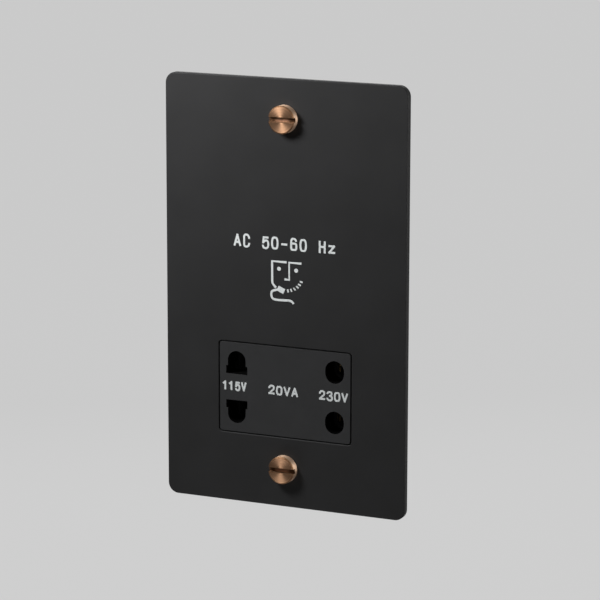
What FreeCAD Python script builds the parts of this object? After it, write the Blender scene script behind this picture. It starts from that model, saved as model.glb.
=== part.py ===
import FreeCAD, Part
import math
import os

os.makedirs("parts", exist_ok=True)

# Dual-voltage shaver socket. Millimetres. x is to the right, y goes into the wall, z is up.
# The origin is the middle of the two fixing screws, on the wall plane that the plate's back lies on.

# Face plate, painted sheet metal, portrait two-gang size, 147.5 high with the sizes below
plate_width = 89.0
plate_past_screw = 13.45
plate_thickness = 2.3
plate_corner_r = 3.75
plate_edge_break = 0.3

# Fixing screws, M3.5. With the sizes below they stand on a two-gang wall box's standard centres, 120.6 apart
screw_past_module = 8.3
fixing_hole_r = 2.0
head_r = 4.8
head_height = 3.1
head_edge_break = 0.35
head_slot_width = 1.6
head_slot_depth = 1.3
shank_r = 1.75
neck_r = 1.5
screw_length = 35.0
retainer_r = 4.0
retainer_thickness = 0.9
retainer_grip = 0.05
retainer_setback = 0.1
retainer_side_gap = 0.2

# Insert block of the module front, seen through the plate's cut-out
insert_width = 49.0
insert_height = 31.5
insert_corner_r = 1.0
insert_gap = 0.3
insert_setback = 0.1
insert_edge_break = 0.2

# Pin holes: the 230 V pair is round ended, the 115 V pair is a round pin end on a flat-blade foot.
# Each is placed by the wall that it leaves at the insert's side and at its top or bottom.
hole_230_width = 6.9
hole_230_height = 7.8
hole_230_side_wall = 2.5
hole_230_end_wall = 3.1
hole_115_width = 6.7
hole_115_inner = 4.6
hole_115_side_wall = 2.5
hole_115_end_wall = 3.1
blade_width = 8.0
blade_height = 2.8

# Module front and rear housing, which close round the contact carrier and the transformer
module_wall = 1.8
housing_edge_break = 0.9
housing_slope_depth = 15.5
housing_slope_inset = 7.0
module_corner_r = 4.0
cover_thickness = 2.5
block_back = 5.0
column_inset = 4.6
column_r = 3.4
column_front = 10.0
boss_r = 2.6
housing_screw_r = 1.3
housing_screw_grip = 3.0
housing_screw_head_r = 2.4
housing_screw_head_height = 1.8
counterbore_depth = 15.0
counterbore_gap = 0.2
screw_hole_gap = 0.2
thread_gap = 0.02
recess_width = 0.8
recess_depth = 0.9
recess_length = 3.4

# Ears of the module front, on four studs welded to the plate
ear_width = 10.0
ear_reach = 8.0
ear_corner_r = 2.5
stud_inset = 10.0
stud_past_module = 3.7
stud_r = 1.5
stud_height = 7.0
stud_hole_gap = 0.3
washer_r = 3.4
washer_thickness = 0.5
nut_across_flats = 5.5
nut_height = 2.4

# Interlock slide, its channel and its springs
slide_travel = 3.2
slide_thickness = 2.0
slide_face_gap = 0.2
slide_edge_gap = 0.3
slide_end_inset = 1.0
slide_past_hole = 0.5
slide_notch_width = 1.5
slide_notch_height = 4.0
window_margin = 0.3
ramp = 1.4
rail_width = 1.5
rail_past_slide = 1.5
spring_stop_thickness = 1.2
spring_stop_half_height = 4.0
spring_room = 6.5
peg_r = 1.2
peg_length = 1.4
spring_wire_r = 0.22
spring_mean_r = 2.0
spring_turns = 4
spring_runs_per_turn = 16
spring_end_gap = 0.05
spring_pocket_gap = 0.3

# Switch: a post on the slide carries a bridge bar between two forked contacts
post_half_width = 2.5
post_half_height = 3.5
post_past_carrier = 4.3
post_gap = 0.4
bar_thickness = 0.8
bar_height = 3.0
bar_grip = 0.03
bar_lift = 0.8
button_r = 1.0
button_height = 0.6
button_inset = 1.0
contact_air = 0.1
fork_thickness = 0.5
fork_to_link = 2.3
fork_to_post = 1.5
fork_end_gap = 1.0
fork_height = 5.0

# Contact carrier and its chambers
carrier_side_inset = 1.0
carrier_end_inset = 0.75
carrier_to_column = 0.5
carrier_to_floor = 1.7
carrier_depth = 12.6
chamber_wall = 1.5
chamber_side = 0.5
lug_x = 12.0
lug_half_width = 4.0
lug_height = 5.0
lug_thickness = 2.6
carrier_screw_r = 1.25
carrier_screw_head_r = 2.3
carrier_screw_head_height = 1.7
carrier_screw_length = 6.5

# Spring clips
clip_thickness = 0.5
clip_seat_gap = 0.2
clip_back_set = 0.5
clip_height = 5.4
clip_leaf_in = 0.7
clip_waist = 1.1
clip_mouth_set = 0.4
tag_half_width = 1.25
tag_length = 3.5
link_width = 2.0
link_edge = 1.2

# Isolating transformer. With the sizes here its limb is 9 mm wide and its stack 18 mm thick.
core_to_wall = 3.2
core_to_carrier = 17.0
core_to_column = 0.5
bobbin_gap = 0.2
bobbin_wall = 1.0
bobbin_reach = 7.6
bobbin_to_housing = 1.05
winding_setback = 0.6
winding_corner_r = 2.0
clamp_bar_height = 7.0
clamp_bar_thickness = 1.2
core_bolt_r = 1.5
core_bolt_head_r = 2.75
core_bolt_head_height = 2.0
core_bolt_grip = 7.0
core_boss_r = 4.0
pin_r = 0.5
pin_length = 4.5
pin_edge = 3.4
secondary_pin_x = 12.0
primary_pin_x = (7.0, 13.0)
cutout_width = 10.0
cutout_depth = 5.0
cutout_height = 4.0
cutout_x = -3.0

# Terminal block in a notch at the housing's rear bottom edge
terminal_to_fork = 5.0
terminal_end_wall = 2.0
terminal_front_wall = 1.8
terminal_above_clamp = 1.5
terminal_shoulder = 1.5
terminal_shoulder_depth = 2.0
terminal_window_gap = 0.2
terminal_floor = 2.0
clamp_wall = 2.0
clamp_depth = 8.0
clamp_height = 8.5
clamp_gap = 0.2
wire_bore_r = 1.8
wire_bore_length = 6.5
wire_bore_front = 3.1
wire_hole_r = 2.1
clamp_screw_r = 1.5
clamp_screw_head_r = 2.2
clamp_screw_head_height = 1.6
clamp_screw_open = 0.3
clamp_screw_access_gap = 0.4
clamp_slot_width = 0.8
clamp_slot_depth = 0.8
leg_inset = 1.5
leg_to_tag = 1.25
leg_width = 2.5
leg_height = 3.0
leg_above_link = 0.6

# Vent slots in the housing's back wall
vent_length = 13.0
vent_width = 2.0
vent_pitch = 4.6
vent_rows = 9
vent_x = 11.5
vent_above_core = 2.5

# Leads. Their routes are chosen by hand, with the free points so many steps from the pieces they pass
lead_r = 0.8
earth_lead_r = 1.1
lead_corner_share = 0.45
lead_step = 1.0
lead_under_core = 8.0
lead_behind_carrier = 8.0
common_lead_to_leg = 4.0
live_lead_to_common = 3.0
tag_thickness = 0.6
tag_ring_r = 3.2
barrel_r = 1.5
barrel_length = 5.0
tongue_length = 6.0
tongue_half_width = 1.5
earth_lead_drop = 4.0

# Layout across, from the insert outwards
outlet_230_x = insert_width / 2 - hole_230_side_wall - hole_230_width / 2
outlet_115_x = hole_115_side_wall + blade_width / 2 - insert_width / 2
outlet_230_pitch = insert_height - 2 * hole_230_end_wall - hole_230_height
hole_115_outer = insert_height / 2 - hole_115_end_wall
carrier_half_width = insert_width / 2 - carrier_side_inset
carrier_half_height = insert_height / 2 - carrier_end_inset
slide_half_height = carrier_half_height - slide_end_inset
slide_half_length = outlet_230_x + hole_230_width / 2 + slide_past_hole
fork_reach = carrier_half_height - link_edge - link_width - fork_to_link
bar_half_length = fork_reach - fork_thickness - fork_end_gap
column_x = carrier_half_width + carrier_to_column + column_r
module_width = 2 * (column_x + column_inset)
limb = (module_width / 2 - module_wall - core_to_wall) / 3

# Layout in height: the carrier stands on the housing's floor, with the transformer above it
module_height = (module_wall + carrier_to_floor + 2 * carrier_half_height + core_to_carrier
                 + 5 * limb + core_to_column + column_r + column_inset)
fixing_centres = module_height + 2 * screw_past_module
plate_height = fixing_centres + 2 * plate_past_screw
housing_floor = module_wall - module_height / 2
insert_z = housing_floor + carrier_to_floor + carrier_half_height

# Levels along y and heights that the pieces share
plate_front = -plate_thickness
insert_face = plate_front + insert_setback
slide_front = block_back + slide_face_gap
slide_back = slide_front + slide_thickness
carrier_front = slide_back + slide_face_gap
carrier_back = carrier_front + carrier_depth
link_low = insert_z - carrier_half_height + link_edge
slide_mid_y = (slide_front + slide_back) / 2
terminal_front = carrier_back + fork_height + terminal_to_fork
clamp_front = terminal_front + terminal_front_wall
module_depth = clamp_front + clamp_depth + clamp_gap + terminal_shoulder_depth
housing_inner_back = module_depth - module_wall
housing_screw_length = module_depth - counterbore_depth - column_front + housing_screw_grip
column_z = module_height / 2 - column_inset
stud_x = module_width / 2 - stud_inset
stud_z = module_height / 2 + stud_past_module
core_mid_y = (cover_thickness + housing_inner_back) / 2
bobbin_half_depth = core_mid_y - cover_thickness - bobbin_to_housing
core_stack = 2 * (bobbin_half_depth - bobbin_reach - bobbin_wall - bobbin_gap)
core_front = core_mid_y - core_stack / 2
core_back = core_mid_y + core_stack / 2
core_top = column_z - column_r - core_to_column
core_bottom = core_top - 5 * limb
bobbin_bottom = core_bottom + limb + bobbin_gap
bobbin_top = core_bottom + 4 * limb - bobbin_gap
bobbin_half_width = 2 * limb - bobbin_gap
core_bolt_x = 2.5 * limb
clamp_bottom = housing_floor + terminal_floor
clamp_top = clamp_bottom + clamp_height
terminal_top = clamp_top + terminal_above_clamp
leg_x = -outlet_115_x - tag_half_width - leg_to_tag - leg_width
common_lead_x = leg_x - common_lead_to_leg
terminal_half_width = leg_x + leg_width + leg_inset
terminal_pitch = (terminal_half_width - terminal_end_wall + clamp_wall / 2) / 2
clamp_width = terminal_pitch - clamp_wall
wire_y = clamp_front + wire_bore_front
wire_x = [terminal_pitch * (step - 1.5) for step in range(4)]


def at(x, y, z):
    return FreeCAD.Vector(x, y, z)


def block(x0, x1, y0, y1, z0, z1):
    """A square block between two corners."""
    return Part.makeBox(x1 - x0, y1 - y0, z1 - z0, at(x0, y0, z0))


def rod(radius, start, end):
    """A round bar from one point to another."""
    start, end = at(*start), at(*end)
    return Part.makeCylinder(radius, (end - start).Length, start, end - start)


def slab(width, height, corner_r, y0, y1, x=0.0, z=0.0):
    """A flat slab parallel to the wall, with rounded corners."""
    box = block(x - width / 2, x + width / 2, y0, y1, z - height / 2, z + height / 2)
    uprights = [e for e in box.Edges if abs(e.tangentAt(e.FirstParameter).y) > 0.99]
    return box.makeFillet(corner_r, uprights)


def edges_at(shape, y, half_width, half_height, z=0.0):
    """The edges at one depth that lie within a rectangle about the middle line."""
    found = []
    for edge in shape.Edges:
        box = edge.BoundBox
        flat = abs(box.YMin - y) < 0.01 and abs(box.YMax - y) < 0.01
        inside = max(abs(box.XMin), abs(box.XMax)) < half_width
        level = box.ZMin > z - half_height and box.ZMax < z + half_height
        if flat and inside and level:
            found.append(edge)
    return found


def join(first, *others):
    return first.multiFuse(list(others)).removeSplitter()


def cut(shape, *tools):
    return shape.cut(Part.makeCompound(list(tools)))


def save(node, *solids):
    """Write one named piece, or a group of like pieces, to its file."""
    shape = solids[0] if len(solids) == 1 else Part.makeCompound(list(solids))
    shape.exportStep("parts/" + node + ".step")


def four_corners(x, z):
    return [(side * x, end * z) for side in (-1, 1) for end in (-1, 1)]


def slotted_head(radius, height, slot_width, slot_depth, x, y_top, z, edge_break):
    """A turned screw head whose top faces the front, with one level slot."""
    head = rod(radius, (x, y_top, z), (x, y_top + height, z))
    rim = [e for e in head.Edges if abs(e.BoundBox.YMax - y_top) < 0.01]
    head = head.makeChamfer(edge_break, rim)
    return cut(head, block(x - 2 * radius, x + 2 * radius, y_top - 1, y_top + slot_depth,
                           z - slot_width / 2, z + slot_width / 2))


def make_front_plate():
    plate = slab(plate_width, plate_height, plate_corner_r, plate_front, 0)
    front_edges = edges_at(plate, plate_front, plate_width, plate_height)
    plate = plate.makeChamfer(plate_edge_break, front_edges)
    opening = slab(insert_width + 2 * insert_gap, insert_height + 2 * insert_gap,
                   insert_corner_r + insert_gap, plate_front - 1, 1, z=insert_z)
    tools = [opening]
    recess_y = -retainer_thickness - retainer_setback
    for end in (-1, 1):
        z = end * fixing_centres / 2
        tools.append(rod(fixing_hole_r, (0, plate_front - 1, z), (0, 1, z)))
        tools.append(rod(retainer_r + retainer_side_gap, (0, recess_y, z), (0, 1, z)))
    plate = cut(plate, *tools)
    rim = edges_at(plate, plate_front, insert_width / 2 + 1, insert_height / 2 + 1, insert_z)
    return plate.makeChamfer(insert_edge_break, rim)


def make_fixing_screw(z):
    head = slotted_head(head_r, head_height, head_slot_width, head_slot_depth,
                        0, plate_front - head_height, z, head_edge_break)
    neck = rod(neck_r, (0, plate_front, z), (0, 0, z))
    thread = rod(shank_r, (0, 0, z), (0, plate_front + screw_length, z))
    tip = [e for e in thread.Edges if abs(e.BoundBox.YMin - plate_front - screw_length) < 0.01]
    return join(head, neck, thread.makeChamfer(shank_r - neck_r, tip))


def make_retainer(z):
    """A washer on the screw's neck, let into the plate's back so that the plate lies flat."""
    y0, y1 = -retainer_thickness - retainer_setback, -retainer_setback
    ring = rod(retainer_r, (0, y0, z), (0, y1, z))
    return cut(ring, rod(neck_r + retainer_grip, (0, y0 - 1, z), (0, y1 + 1, z)))


def round_hole(x, z, width, height, y0, y1):
    """An upright hole with round ends."""
    straight = height - width
    body = block(x - width / 2, x + width / 2, y0, y1, z - straight / 2, z + straight / 2)
    ends = [rod(width / 2, (x, y0, mid), (x, y1, mid)) for mid in (z - straight / 2, z + straight / 2)]
    return join(body, *ends)


def holes_230(y0, y1, margin=0.0):
    return [round_hole(outlet_230_x, insert_z + end * outlet_230_pitch / 2,
                       hole_230_width + 2 * margin, hole_230_height + 2 * margin, y0, y1) for end in (-1, 1)]


def hole_115(end, y0, y1):
    """A round pin hole that runs down into a wider foot for a flat blade. end is 1 above and -1 below."""
    radius = hole_115_width / 2
    mid_z = insert_z + end * (hole_115_outer - radius)
    inner_z = insert_z + end * hole_115_inner
    foot_z = inner_z + end * blade_height
    x = outlet_115_x
    tip = rod(radius, (x, y0, mid_z), (x, y1, mid_z))
    body = block(x - radius, x + radius, y0, y1, min(inner_z, mid_z), max(inner_z, mid_z))
    foot = block(x - blade_width / 2, x + blade_width / 2, y0, y1, min(inner_z, foot_z), max(inner_z, foot_z))
    return join(tip, body, foot)


def make_front_moulding():
    cover = slab(module_width, module_height, module_corner_r, 0, cover_thickness)
    face_block = slab(insert_width, insert_height, insert_corner_r, insert_face, block_back, z=insert_z)
    rim = edges_at(face_block, insert_face, insert_width, insert_height, insert_z)
    pieces = [face_block.makeChamfer(insert_edge_break, rim)]
    for x, z in four_corners(stud_x, 1):
        ear_mid = z * (module_height / 2 + ear_reach / 2 - ear_corner_r)
        ear_height = ear_reach + 2 * ear_corner_r
        pieces.append(slab(ear_width, ear_height, ear_corner_r, 0, cover_thickness, x, ear_mid))
    rail_half_length = slide_half_length + rail_past_slide
    for end in (-1, 1):
        inner = insert_z + end * (slide_half_height + slide_edge_gap)
        outer = inner + end * rail_width
        pieces.append(block(-rail_half_length, rail_half_length, cover_thickness, carrier_front,
                            min(inner, outer), max(inner, outer)))
        stop = end * (slide_half_length + spring_room)
        stop_back = stop + end * spring_stop_thickness
        pieces.append(block(min(stop, stop_back), max(stop, stop_back), cover_thickness, carrier_front,
                            insert_z - spring_stop_half_height, insert_z + spring_stop_half_height))
        peg_tip = stop - end * peg_length
        pieces.append(rod(peg_r, (stop, slide_mid_y, insert_z), (peg_tip, slide_mid_y, insert_z)))
        boss_x = end * lug_x
        pieces.append(rod(boss_r, (boss_x, cover_thickness, lug_z()), (boss_x, carrier_front, lug_z())))
    for x, z in four_corners(column_x, column_z):
        pieces.append(rod(boss_r, (x, cover_thickness, z), (x, column_front, z)))
    for x, z in core_bolt_places():
        pieces.append(rod(core_boss_r, (x, cover_thickness, z), (x, core_front, z)))
    moulding = join(cover, *pieces)
    tools = holes_230(insert_face - 1, block_back + 1)
    tools += [hole_115(end, insert_face - 1, block_back + 1) for end in (-1, 1)]
    tools += [spring_pocket(side, insert_width / 2) for side in (-1, 1)]
    for x, z in four_corners(stud_x, stud_z):
        tools.append(rod(stud_r + stud_hole_gap, (x, -1, z), (x, cover_thickness + 1, z)))
    for x, z in four_corners(column_x, column_z):
        screw_end = column_front - housing_screw_grip
        tools.append(rod(housing_screw_r + thread_gap, (x, screw_end, z), (x, column_front + 1, z)))
    for x, z in core_bolt_places():
        bolt_end = core_front - core_bolt_grip
        tools.append(rod(core_bolt_r + thread_gap, (x, bolt_end, z), (x, core_front + 1, z)))
    for end in (-1, 1):
        screw_end = carrier_front + lug_thickness - carrier_screw_length
        tools.append(rod(carrier_screw_r + thread_gap, (end * lug_x, screw_end, lug_z()),
                         (end * lug_x, carrier_front + 1, lug_z())))
    return cut(moulding, *tools)


def spring_pocket(side, half_width):
    """The room that a spring needs in the pieces in front of and behind the slide."""
    radius = spring_mean_r + spring_wire_r + spring_pocket_gap
    inner = side * (slide_half_length - slide_travel - spring_pocket_gap)
    return rod(radius, (inner, slide_mid_y, insert_z), (side * half_width, slide_mid_y, insert_z))


def lug_z():
    return insert_z + carrier_half_height + lug_height / 2


def core_bolt_places():
    levels = (core_bottom + limb / 2, core_top - limb / 2)
    return [(side * core_bolt_x, z) for side in (-1, 1) for z in levels]


def make_plate_studs():
    return [rod(stud_r, (x, 0, z), (x, stud_height, z)) for x, z in four_corners(stud_x, stud_z)]


def washer_bottom(x, z):
    """The washer over the earth tag sits higher than the other three."""
    return cover_thickness + (tag_thickness if (x, z) == (-stud_x, -stud_z) else 0.0)


def make_stud_washers():
    washers = []
    for x, z in four_corners(stud_x, stud_z):
        base = washer_bottom(x, z)
        ring = rod(washer_r, (x, base, z), (x, base + washer_thickness, z))
        washers.append(cut(ring, rod(stud_r + thread_gap, (x, 0, z), (x, stud_height, z))))
    return washers


def make_stud_nuts():
    nuts = []
    corner_r = nut_across_flats / math.sqrt(3)
    for x, z in four_corners(stud_x, stud_z):
        base = washer_bottom(x, z) + washer_thickness
        corners = [at(x + corner_r * math.cos(math.radians(60 * i)), base,
                      z + corner_r * math.sin(math.radians(60 * i))) for i in range(7)]
        nut = Part.Face(Part.makePolygon(corners)).extrude(at(0, nut_height, 0))
        nuts.append(cut(nut, rod(stud_r + thread_gap, (x, 0, z), (x, base + nut_height + 1, z))))
    return nuts


def slide_window(x, half_width, z0, z1, outward):
    """A window in the slide, set inboard of its hole, with a ramp on its outboard edge."""
    x_mid = x - outward * slide_travel
    edge = x_mid + outward * half_width
    opening = block(x_mid - half_width, x_mid + half_width, slide_front - 1, slide_back + 1, z0, z1)
    wedge = Part.Face(Part.makePolygon([at(edge, slide_front, z0), at(edge + outward * ramp, slide_front, z0),
                                        at(edge, slide_front + ramp, z0), at(edge, slide_front, z0)]))
    return [opening, wedge.extrude(at(0, 0, z1 - z0))]


def make_shutter_slide():
    body = block(-slide_half_length, slide_half_length, slide_front, slide_back,
                 insert_z - slide_half_height, insert_z + slide_half_height)
    post = block(-post_half_width, post_half_width, slide_back, carrier_back + post_past_carrier,
                 insert_z - post_half_height, insert_z + post_half_height)
    tools = []
    pegs = []
    slide_notch_x = slide_half_length - slide_notch_width
    slide_notch_z = slide_half_height - slide_notch_height
    for end in (-1, 1):
        tip = end * (slide_half_length + peg_length)
        pegs.append(rod(peg_r, (end * slide_notch_x, slide_mid_y, insert_z), (tip, slide_mid_y, insert_z)))
        far = slide_half_length + 1
        for side in (-1, 1):
            x0, x1 = sorted((side * slide_notch_x, side * far))
            z0, z1 = sorted((insert_z + end * slide_notch_z, insert_z + end * (slide_half_height + 1)))
            tools.append(block(x0, x1, slide_front - 1, slide_back + 1, z0, z1))
        z0 = insert_z + end * outlet_230_pitch / 2 - hole_230_height / 2 - window_margin
        tools += slide_window(outlet_230_x, hole_230_width / 2 + window_margin, z0,
                              z0 + hole_230_height + 2 * window_margin, 1)
        z0, z1 = sorted((insert_z + end * (hole_115_inner - window_margin),
                         insert_z + end * (hole_115_outer + window_margin)))
        tools += slide_window(outlet_115_x, blade_width / 2 + window_margin, z0, z1, -1)
    slot_half = bar_thickness / 2 + bar_grip
    tools.append(block(-slot_half, slot_half, carrier_back + bar_lift, carrier_back + post_past_carrier + 1,
                       insert_z - post_half_height - 1, insert_z + post_half_height + 1))
    return cut(join(body, post, *pegs), *tools)


def make_slide_spring(side):
    """A coil spring between the slide's end and its stop, round the two pegs, as short straight runs."""
    room = spring_room - 2 * spring_end_gap
    rise = room - 2 * spring_wire_r
    start = slide_half_length + spring_end_gap + spring_wire_r
    if side < 0:
        start = -start - rise
    runs = spring_turns * spring_runs_per_turn
    points = []
    for step in range(runs + 1):
        turn = 2 * math.pi * step / spring_runs_per_turn
        points.append(at(start + rise * step / runs, slide_mid_y + spring_mean_r * math.cos(turn),
                         insert_z + spring_mean_r * math.sin(turn)))
    ring = Part.Wire([Part.makeCircle(spring_wire_r, points[0], points[1] - points[0])])
    mitred = 1
    return Part.makePolygon(points).makePipeShell([ring], True, False, mitred)


def make_contact_bridge():
    """A bar across the post's slot, with a button on each side at both ends."""
    y0 = carrier_back + bar_lift
    bar = block(-bar_thickness / 2, bar_thickness / 2, y0, y0 + bar_height,
                insert_z - bar_half_length, insert_z + bar_half_length)
    reach = bar_thickness / 2 + button_height
    y = y0 + bar_height / 2
    buttons = []
    for end in (-1, 1):
        z = insert_z + end * (bar_half_length - button_inset)
        buttons.append(rod(button_r, (-reach, y, z), (reach, y, z)))
    return join(bar, *buttons)


def make_switch_contact(end):
    """A fork round one end of the bridge bar, so that either direction of travel makes contact."""
    outer = fork_side()
    inner = outer - fork_thickness
    y0, y1 = carrier_back, carrier_back + fork_height
    z_in, z_out = insert_z + end * (fork_reach - fork_thickness), insert_z + end * fork_reach
    z_tip = insert_z + end * (post_half_height + fork_to_post)
    base = block(-outer, outer, y0, y1, min(z_in, z_out), max(z_in, z_out))
    arms = []
    for side in (-1, 1):
        x0, x1 = sorted((side * inner, side * outer))
        arms.append(block(x0, x1, y0, y1, min(z_tip, z_out), max(z_tip, z_out)))
    return join(base, *arms)


def chamber_230(end):
    """x and z range of a 230 V contact chamber."""
    z = insert_z + end * outlet_230_pitch / 2
    half_x, half_z = hole_230_width / 2 + chamber_side, hole_230_height / 2
    return outlet_230_x - half_x, outlet_230_x + half_x, z - half_z, z + half_z


def chamber_115(end):
    """x and z range of a 115 V contact chamber."""
    half_x = blade_width / 2 + chamber_side
    z0, z1 = sorted((insert_z + end * hole_115_inner, insert_z + end * hole_115_outer))
    return outlet_115_x - half_x, outlet_115_x + half_x, z0, z1


def make_contact_carrier():
    z0, z1 = insert_z - carrier_half_height, insert_z + carrier_half_height
    body = block(-carrier_half_width, carrier_half_width, carrier_front, carrier_back, z0, z1)
    lugs = [block(side * lug_x - lug_half_width, side * lug_x + lug_half_width,
                  carrier_front, carrier_front + lug_thickness, z1 - 1, z1 + lug_height) for side in (-1, 1)]
    tools = holes_230(carrier_front - 1, carrier_back)
    tools += [hole_115(end, carrier_front - 1, carrier_back) for end in (-1, 1)]
    for end in (-1, 1):
        for x0, x1, low, high in (chamber_230(end), chamber_115(end)):
            tools.append(block(x0, x1, carrier_front + chamber_wall, carrier_back + 1, low, high))
    half_x = post_half_width + slide_travel + post_gap
    half_z = post_half_height + post_gap
    tools.append(block(-half_x, half_x, carrier_front - 1, carrier_back + 1,
                       insert_z - half_z, insert_z + half_z))
    tools += [spring_pocket(side, carrier_half_width) for side in (-1, 1)]
    for side in (-1, 1):
        x = side * lug_x
        tools.append(rod(carrier_screw_r + screw_hole_gap, (x, carrier_front - 1, lug_z()),
                         (x, carrier_back, lug_z())))
    return cut(join(body, *lugs), *tools)


def cross_head_screw(x, z, seat_y, length, radius, head_radius, head_height):
    """A pan-head screw driven from the back, with a cross recess in its head."""
    top = seat_y + head_height
    head = rod(head_radius, (x, seat_y, z), (x, top, z))
    rim = [e for e in head.Edges if abs(e.BoundBox.YMin - top) < 0.01]
    head = head.makeChamfer(head_height / 3, rim)
    shank = rod(radius, (x, seat_y - length, z), (x, seat_y, z))
    half, reach = recess_width / 2, recess_length / 2
    cross = [block(x - reach, x + reach, top - recess_depth, top + 1, z - half, z + half),
             block(x - half, x + half, top - recess_depth, top + 1, z - reach, z + reach)]
    return cut(join(head, shank), *cross)


def make_carrier_screws():
    return [cross_head_screw(side * lug_x, lug_z(), carrier_front + lug_thickness, carrier_screw_length,
                             carrier_screw_r, carrier_screw_head_r, carrier_screw_head_height)
            for side in (-1, 1)]


def leaf(side, mid, half_span, y_back, y_front):
    """Outline of one bowed leaf, as (offset from the clip's middle, depth) pairs."""
    outer = half_span - clip_leaf_in
    waist = half_span - clip_leaf_in - clip_waist
    y_waist = y_front + (y_back - y_front) / 3
    near = [(outer, y_back), (waist, y_waist), (outer, y_front)]
    far = [(offset - clip_thickness, y) for offset, y in reversed(near)]
    return [(mid + side * offset, y) for offset, y in near + far]


def make_clip(chamber, squeeze_z):
    """A folded spring clip: a back plate seated in its chamber, two bowed leaves and a solder tag."""
    x0, x1, z0, z1 = chamber
    y_back = carrier_back - clip_back_set
    y_front = carrier_front + chamber_wall + clip_mouth_set
    x_mid, z_mid = (x0 + x1) / 2, (z0 + z1) / 2
    back = block(x0 + clip_seat_gap, x1 - clip_seat_gap, y_back - clip_thickness, y_back,
                 z0 + clip_seat_gap, z1 - clip_seat_gap)
    leaves = []
    half_span = (z1 - z0) / 2 if squeeze_z else (x1 - x0) / 2
    for side in (-1, 1):
        outline = leaf(side, z_mid if squeeze_z else x_mid, half_span, y_back - clip_thickness / 2, y_front)
        if squeeze_z:
            points = [at(x_mid - clip_height / 2, y, z) for z, y in outline]
            along = at(clip_height, 0, 0)
        else:
            points = [at(x, y, z_mid - clip_height / 2) for x, y in outline]
            along = at(0, 0, clip_height)
        leaves.append(Part.Face(Part.makePolygon(points + points[:1])).extrude(along))
    tag = block(x_mid - tag_half_width, x_mid + tag_half_width, y_back - clip_thickness, tag_end(),
                z_mid - clip_thickness / 2, z_mid + clip_thickness / 2)
    return join(back, tag, *leaves)


def tag_end():
    return carrier_back - clip_back_set + tag_length


def make_common_link():
    """A strip on the carrier's back that joins the solder tags of the two lower clips."""
    low = link_low
    x_115, x_230 = outlet_115_x, outlet_230_x
    y0, y1 = carrier_back, carrier_back + clip_thickness
    strip = block(x_115 - tag_half_width, x_230 + tag_half_width, y0, y1, low, low + link_width)
    risers = []
    for x, chamber in ((x_115, chamber_115(-1)), (x_230, chamber_230(-1))):
        tag_z = (chamber[2] + chamber[3]) / 2
        risers.append(block(x - tag_half_width, x + tag_half_width, y0, y1, low, tag_z - clip_thickness / 2))
    return join(strip, *risers)


def make_core_e_stack():
    stack = block(-3 * limb, 3 * limb, core_front, core_back, core_bottom, core_bottom + 4 * limb)
    tools = [block(window - limb, window, core_front - 1, core_back + 1, core_bottom + limb, core_top)
             for window in (-limb, 2 * limb)]
    tools += [rod(core_bolt_r + screw_hole_gap, (x, core_front - 1, z), (x, core_back + 1, z))
              for x, z in core_bolt_places() if z < core_mid_z()]
    return cut(stack, *tools)


def core_mid_z():
    return (core_bottom + core_top) / 2


def make_core_i_stack():
    stack = block(-3 * limb, 3 * limb, core_front, core_back, core_top - limb, core_top)
    holes = [rod(core_bolt_r + screw_hole_gap, (x, core_front - 1, z), (x, core_back + 1, z))
             for x, z in core_bolt_places() if z > core_mid_z()]
    return cut(stack, *holes)


def make_clamp_bar(z):
    bar = block(-3 * limb, 3 * limb, core_back, core_back + clamp_bar_thickness,
                z - clamp_bar_height / 2, z + clamp_bar_height / 2)
    holes = [rod(core_bolt_r + screw_hole_gap, (side * core_bolt_x, core_back - 1, z),
                 (side * core_bolt_x, core_back + clamp_bar_thickness + 1, z)) for side in (-1, 1)]
    return cut(bar, *holes)


def make_core_bolts():
    seat = core_back + clamp_bar_thickness
    length = seat - core_front + core_bolt_grip
    return [cross_head_screw(x, z, seat, length, core_bolt_r, core_bolt_head_r, core_bolt_head_height)
            for x, z in core_bolt_places()]


def make_bobbin():
    """A square tube round the middle limb, with an end flange top and bottom and a dividing flange."""
    half_x = limb + bobbin_gap + bobbin_wall
    half_y = core_stack / 2 + bobbin_gap + bobbin_wall
    middle = (bobbin_bottom + bobbin_top) / 2
    tube = block(-half_x, half_x, core_mid_y - half_y, core_mid_y + half_y, bobbin_bottom, bobbin_top)
    flanges = []
    for low in (bobbin_bottom, middle - bobbin_wall / 2, bobbin_top - bobbin_wall):
        flanges.append(block(-bobbin_half_width, bobbin_half_width, core_mid_y - bobbin_half_depth,
                             core_mid_y + bobbin_half_depth, low, low + bobbin_wall))
    bore_x, bore_y = limb + bobbin_gap, core_stack / 2 + bobbin_gap
    bore = block(-bore_x, bore_x, core_mid_y - bore_y, core_mid_y + bore_y, bobbin_bottom - 1, bobbin_top + 1)
    return cut(join(tube, *flanges), bore)


def make_winding(low, high):
    """Wire wound round the bobbin's tube between two flanges."""
    half_x = bobbin_half_width - winding_setback
    half_y = bobbin_half_depth - winding_setback
    coil = block(-half_x, half_x, core_mid_y - half_y, core_mid_y + half_y, low, high)
    uprights = [e for e in coil.Edges if abs(e.tangentAt(e.FirstParameter).z) > 0.99]
    coil = coil.makeFillet(winding_corner_r, uprights)
    bore_x = limb + bobbin_gap + bobbin_wall
    bore_y = core_stack / 2 + bobbin_gap + bobbin_wall
    return cut(coil, block(-bore_x, bore_x, core_mid_y - bore_y, core_mid_y + bore_y, low - 1, high + 1))


def make_windings():
    middle = (bobbin_bottom + bobbin_top) / 2
    primary = make_winding(bobbin_bottom + bobbin_wall, middle - bobbin_wall / 2)
    secondary = make_winding(middle + bobbin_wall / 2, bobbin_top - bobbin_wall)
    return primary, secondary


def secondary_pin(x):
    return (x, core_mid_y - bobbin_half_depth + pin_edge, bobbin_bottom - pin_length)


def primary_pin(x):
    return (x, core_mid_y + bobbin_half_depth - pin_edge, bobbin_bottom - pin_length)


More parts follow.
